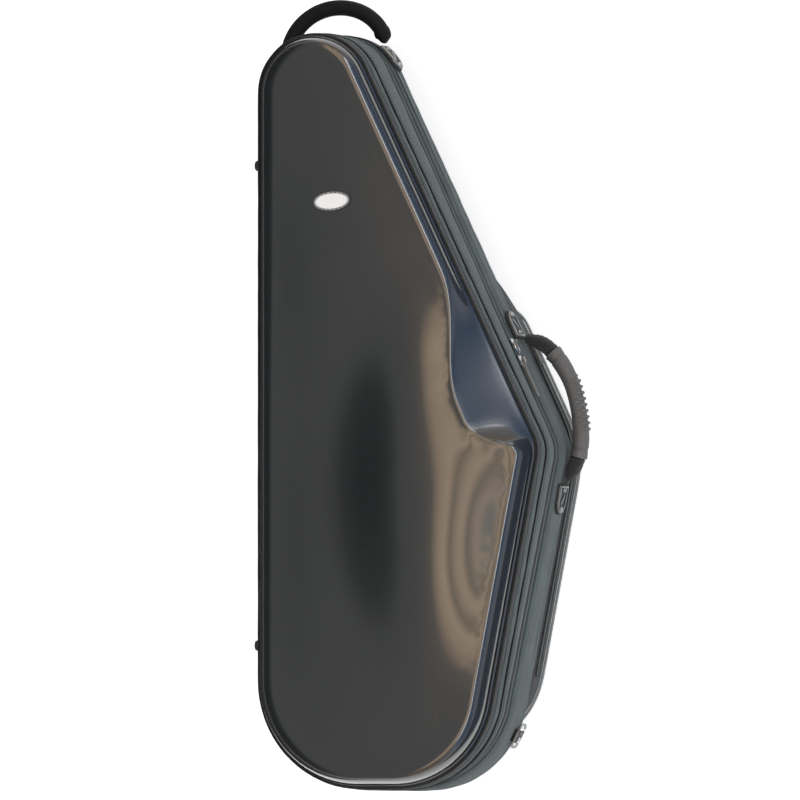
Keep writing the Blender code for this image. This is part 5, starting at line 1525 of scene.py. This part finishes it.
FOOT_RISES = (("lower", 0.157), ("upper", 0.691))
LID_FOOT_DROP = 0.0205
BASE_FOOT_LIFT = 0.0200
FOOT_PROFILE = [
    (0, 0.0063), (0.0030, 0.0063), (0.0032, 0.0066), (0.0033, 0.0092), (0.0036, 0.0095), (0.0046, 0.0095),
    (0.0053, 0.0091), (0.0057, 0.0083), (0.0060, 0.0060), (0.0061, 0.0040), (0.0065, 0.0034),
    (0.0066, 0.0022), (0.0066, 0.0005), (0.0063, 0.0), (0, 0.0),
]


def make_feet():
    heights = (("lid", RIM_Z - LID_FOOT_DROP, BAND_PROUD), ("base", BACK_Z + BASE_FOOT_LIFT, SURFACE))
    for half, z, surface in heights:
        for name, rise in FOOT_RISES:
            point = raised(ORIGIN + Vector((0, rise)), z)
            place = Matrix((Vector((0, -1, 0)), UP, Vector((-1, 0, 0)))).transposed().to_4x4()
            place.translation = point + Vector((-surface - GAP, 0, 0))
            covers = [f"{half}_foot_{name}"]
            lathe(f"{half}_{name}_bumper", FOOT_PROFILE, place, "foot_rubber", half, covers)
    dress([name for name in NODES if "foot_screw" in name], "screw_steel", 0.0003)


def make_trim():
    dress(["zip_slider_upper", "zip_slider_lower", "pocket_slider"], "slider_metal", 0.0004)
    dress(["zip_pull_lower", "pocket_pull"], "pull_enamel", 0.0003)
    dress(["zip_pull_upper"], "slider_metal", 0, 2)
    dress(["strap_ring"], "ring_metal", 0, 1)
    dress(["strap_ring_clip"], "ring_metal", 0.0003)
    dress(["badge_plate"], "badge_plate", 0.0004)
    dress(["badge_rim"], "badge_wire", 0, 2)


# Studio


def make_floor():
    shape = bmesh.new()
    bmesh.ops.create_grid(shape, x_segments=2, y_segments=2, size=FLOOR_HALF)
    data = bpy.data.meshes.new("studio_floor")
    shape.to_mesh(data)
    shape.free()
    floor = new_object("studio_floor", data)
    floor.location.z = -FLOOR_DROP
    made, tree, shader = new_material("studio_floor")
    put(tree, shader, Base_Color=(0.90, 0.90, 0.90, 1), Roughness=0.9, Specular_IOR_Level=0.0)
    rays = node(tree, "LightPath").outputs
    seen = rays["Is Camera Ray"]
    for name in ("Is Glossy Ray", "Is Transmission Ray"):
        seen = calculate(tree, "MAXIMUM", seen, rays[name])
    strength = calculate(tree, "MULTIPLY", seen, FLOOR_GLOW)
    glow = node(tree, "Emission", Color=(1, 1, 1, 1), Strength=strength)
    both = node(tree, "AddShader", {0: shader.outputs[0], 1: glow.outputs[0]})
    put(tree, tree.nodes["Material Output"], Surface=both.outputs[0])
    data.materials.append(made)


def make_card(name, box, colour):
    """A dark card on the floor beside the case, which only its gloss shows."""
    low, high = box
    data = bpy.data.meshes.new(name)
    spots = [(low[0], low[1], 0), (high[0], low[1], 0), (high[0], high[1], 0), (low[0], high[1], 0)]
    data.from_pydata(spots, [], [(0, 1, 2, 3)])
    card = new_object(name, data)
    data.materials.append(cloth(name, colour, CARD_PITCH, CARD_DEPTH, by_uv=False))
    card.visible_camera = False
    card.visible_diffuse = False
    card.visible_shadow = False


def room_colour(tree, across):
    """The room's colours over X, from the spine side to the bell side."""
    room = node(tree, "ValToRGB", Fac=remap(tree, across, From_Min=-1.0, From_Max=1.0))
    stops = room.color_ramp.elements
    for stop, (at, colour) in zip(stops, (ROOM_LIGHT[0], ROOM_LIGHT[-1])):
        stop.position, stop.color = (at + 1) / 2, (*colour, 1)
    for at, colour in ROOM_LIGHT[1:-1]:
        stops.new((at + 1) / 2).color = (*colour, 1)
    return room.outputs["Color"]


def make_world():
    """Even light, which glossy surfaces see as a room: dim to the spine side, warm to the bell side.

    Near the horizon nothing in the room is bright, so that the shell isn't burnt out in a low view.
    """
    world = bpy.data.worlds.new("studio")
    world.use_nodes = True
    tree = world.node_tree
    tree.nodes.clear()
    parts = node(tree, "SeparateXYZ", Vector=node(tree, "TexCoord").outputs["Generated"]).outputs
    room = room_colour(tree, parts["X"])
    climb = calculate(tree, "MULTIPLY_ADD", parts["Y"], ROOM_LEAN, parts["Z"])
    brightest = remap(tree, climb, interpolation_type="SMOOTHSTEP", **ROOM_CAP)
    red = node(tree, "SeparateColor", Color=room).outputs["Red"]
    share = calculate(tree, "DIVIDE", brightest, red, use_clamp=True)
    rays = node(tree, "LightPath").outputs
    even = node(tree, "Background", Color=(1, 1, 1, 1), Strength=EVEN_LIGHT).outputs[0]
    white = node(tree, "Background", Color=(1, 1, 1, 1), Strength=1.0).outputs[0]
    seen = node(tree, "Background", Color=room, Strength=share).outputs[0]
    lit = node(tree, "MixShader", {0: rays["Is Glossy Ray"], 1: even, 2: seen}).outputs[0]
    shown = node(tree, "MixShader", {0: rays["Is Camera Ray"], 1: lit, 2: white}).outputs[0]
    node(tree, "OutputWorld", Surface=shown)
    bpy.context.scene.world = world


def area_light(name, spot, aim, size, power, colour):
    data = bpy.data.lights.new(name, "AREA")
    data.shape = "RECTANGLE"
    data.size, data.size_y = size
    data.energy = power
    data.color = colour
    light = new_object(name, data)
    light.location = spot
    light.rotation_euler = (Vector(aim) - Vector(spot)).to_track_quat("-Z", "Y").to_euler()
    light.visible_glossy = False


def make_lights():
    for light in LIGHTS:
        area_light(*light)


def make_camera():
    data = bpy.data.cameras.new("camera")
    data.lens = VIEW_LENS
    data.sensor_width = SENSOR_WIDTH
    data.clip_end = 2 * VIEW_DISTANCE
    camera = new_object("camera", data)
    back = Vector((math.sin(VIEW_TURN), 0, math.cos(VIEW_TURN)))
    camera.location = VIEW_TARGET + back * VIEW_DISTANCE - Vector((0, VIEW_DROP, 0))
    look = (VIEW_TARGET - camera.location).normalized()
    side = look.cross(Vector((0, 1, 0))).normalized()
    turn = Matrix((side, side.cross(look), -look)).transposed()
    camera.rotation_mode = "QUATERNION"
    camera.rotation_quaternion = turn.to_quaternion()
    bpy.context.scene.camera = camera


make_camera()
make_world()
make_lights()
make_floor()
make_card("bell_card", BELL_CARD, (0.045, 0.085, 0.16))
make_card("spine_card", SPINE_CARD, (0.030, 0.031, 0.033))
bpy.context.scene.view_settings.view_transform = "Standard"
closed_path = case_path()
open_path = case_path(False)
make_shell()
make_lid_bands(closed_path)
make_base_bands(closed_path)
make_linings(closed_path)
make_zip_half("lid", 1, open_path)
make_zip_half("base", -1, open_path)
make_hinge_cloth()
make_pocket()
make_pocket_trim()
make_back_panel()
make_foam_bed()
make_hold_strap()
make_plates()
make_top_handle()
make_side_handle()
make_feet()
make_trim()
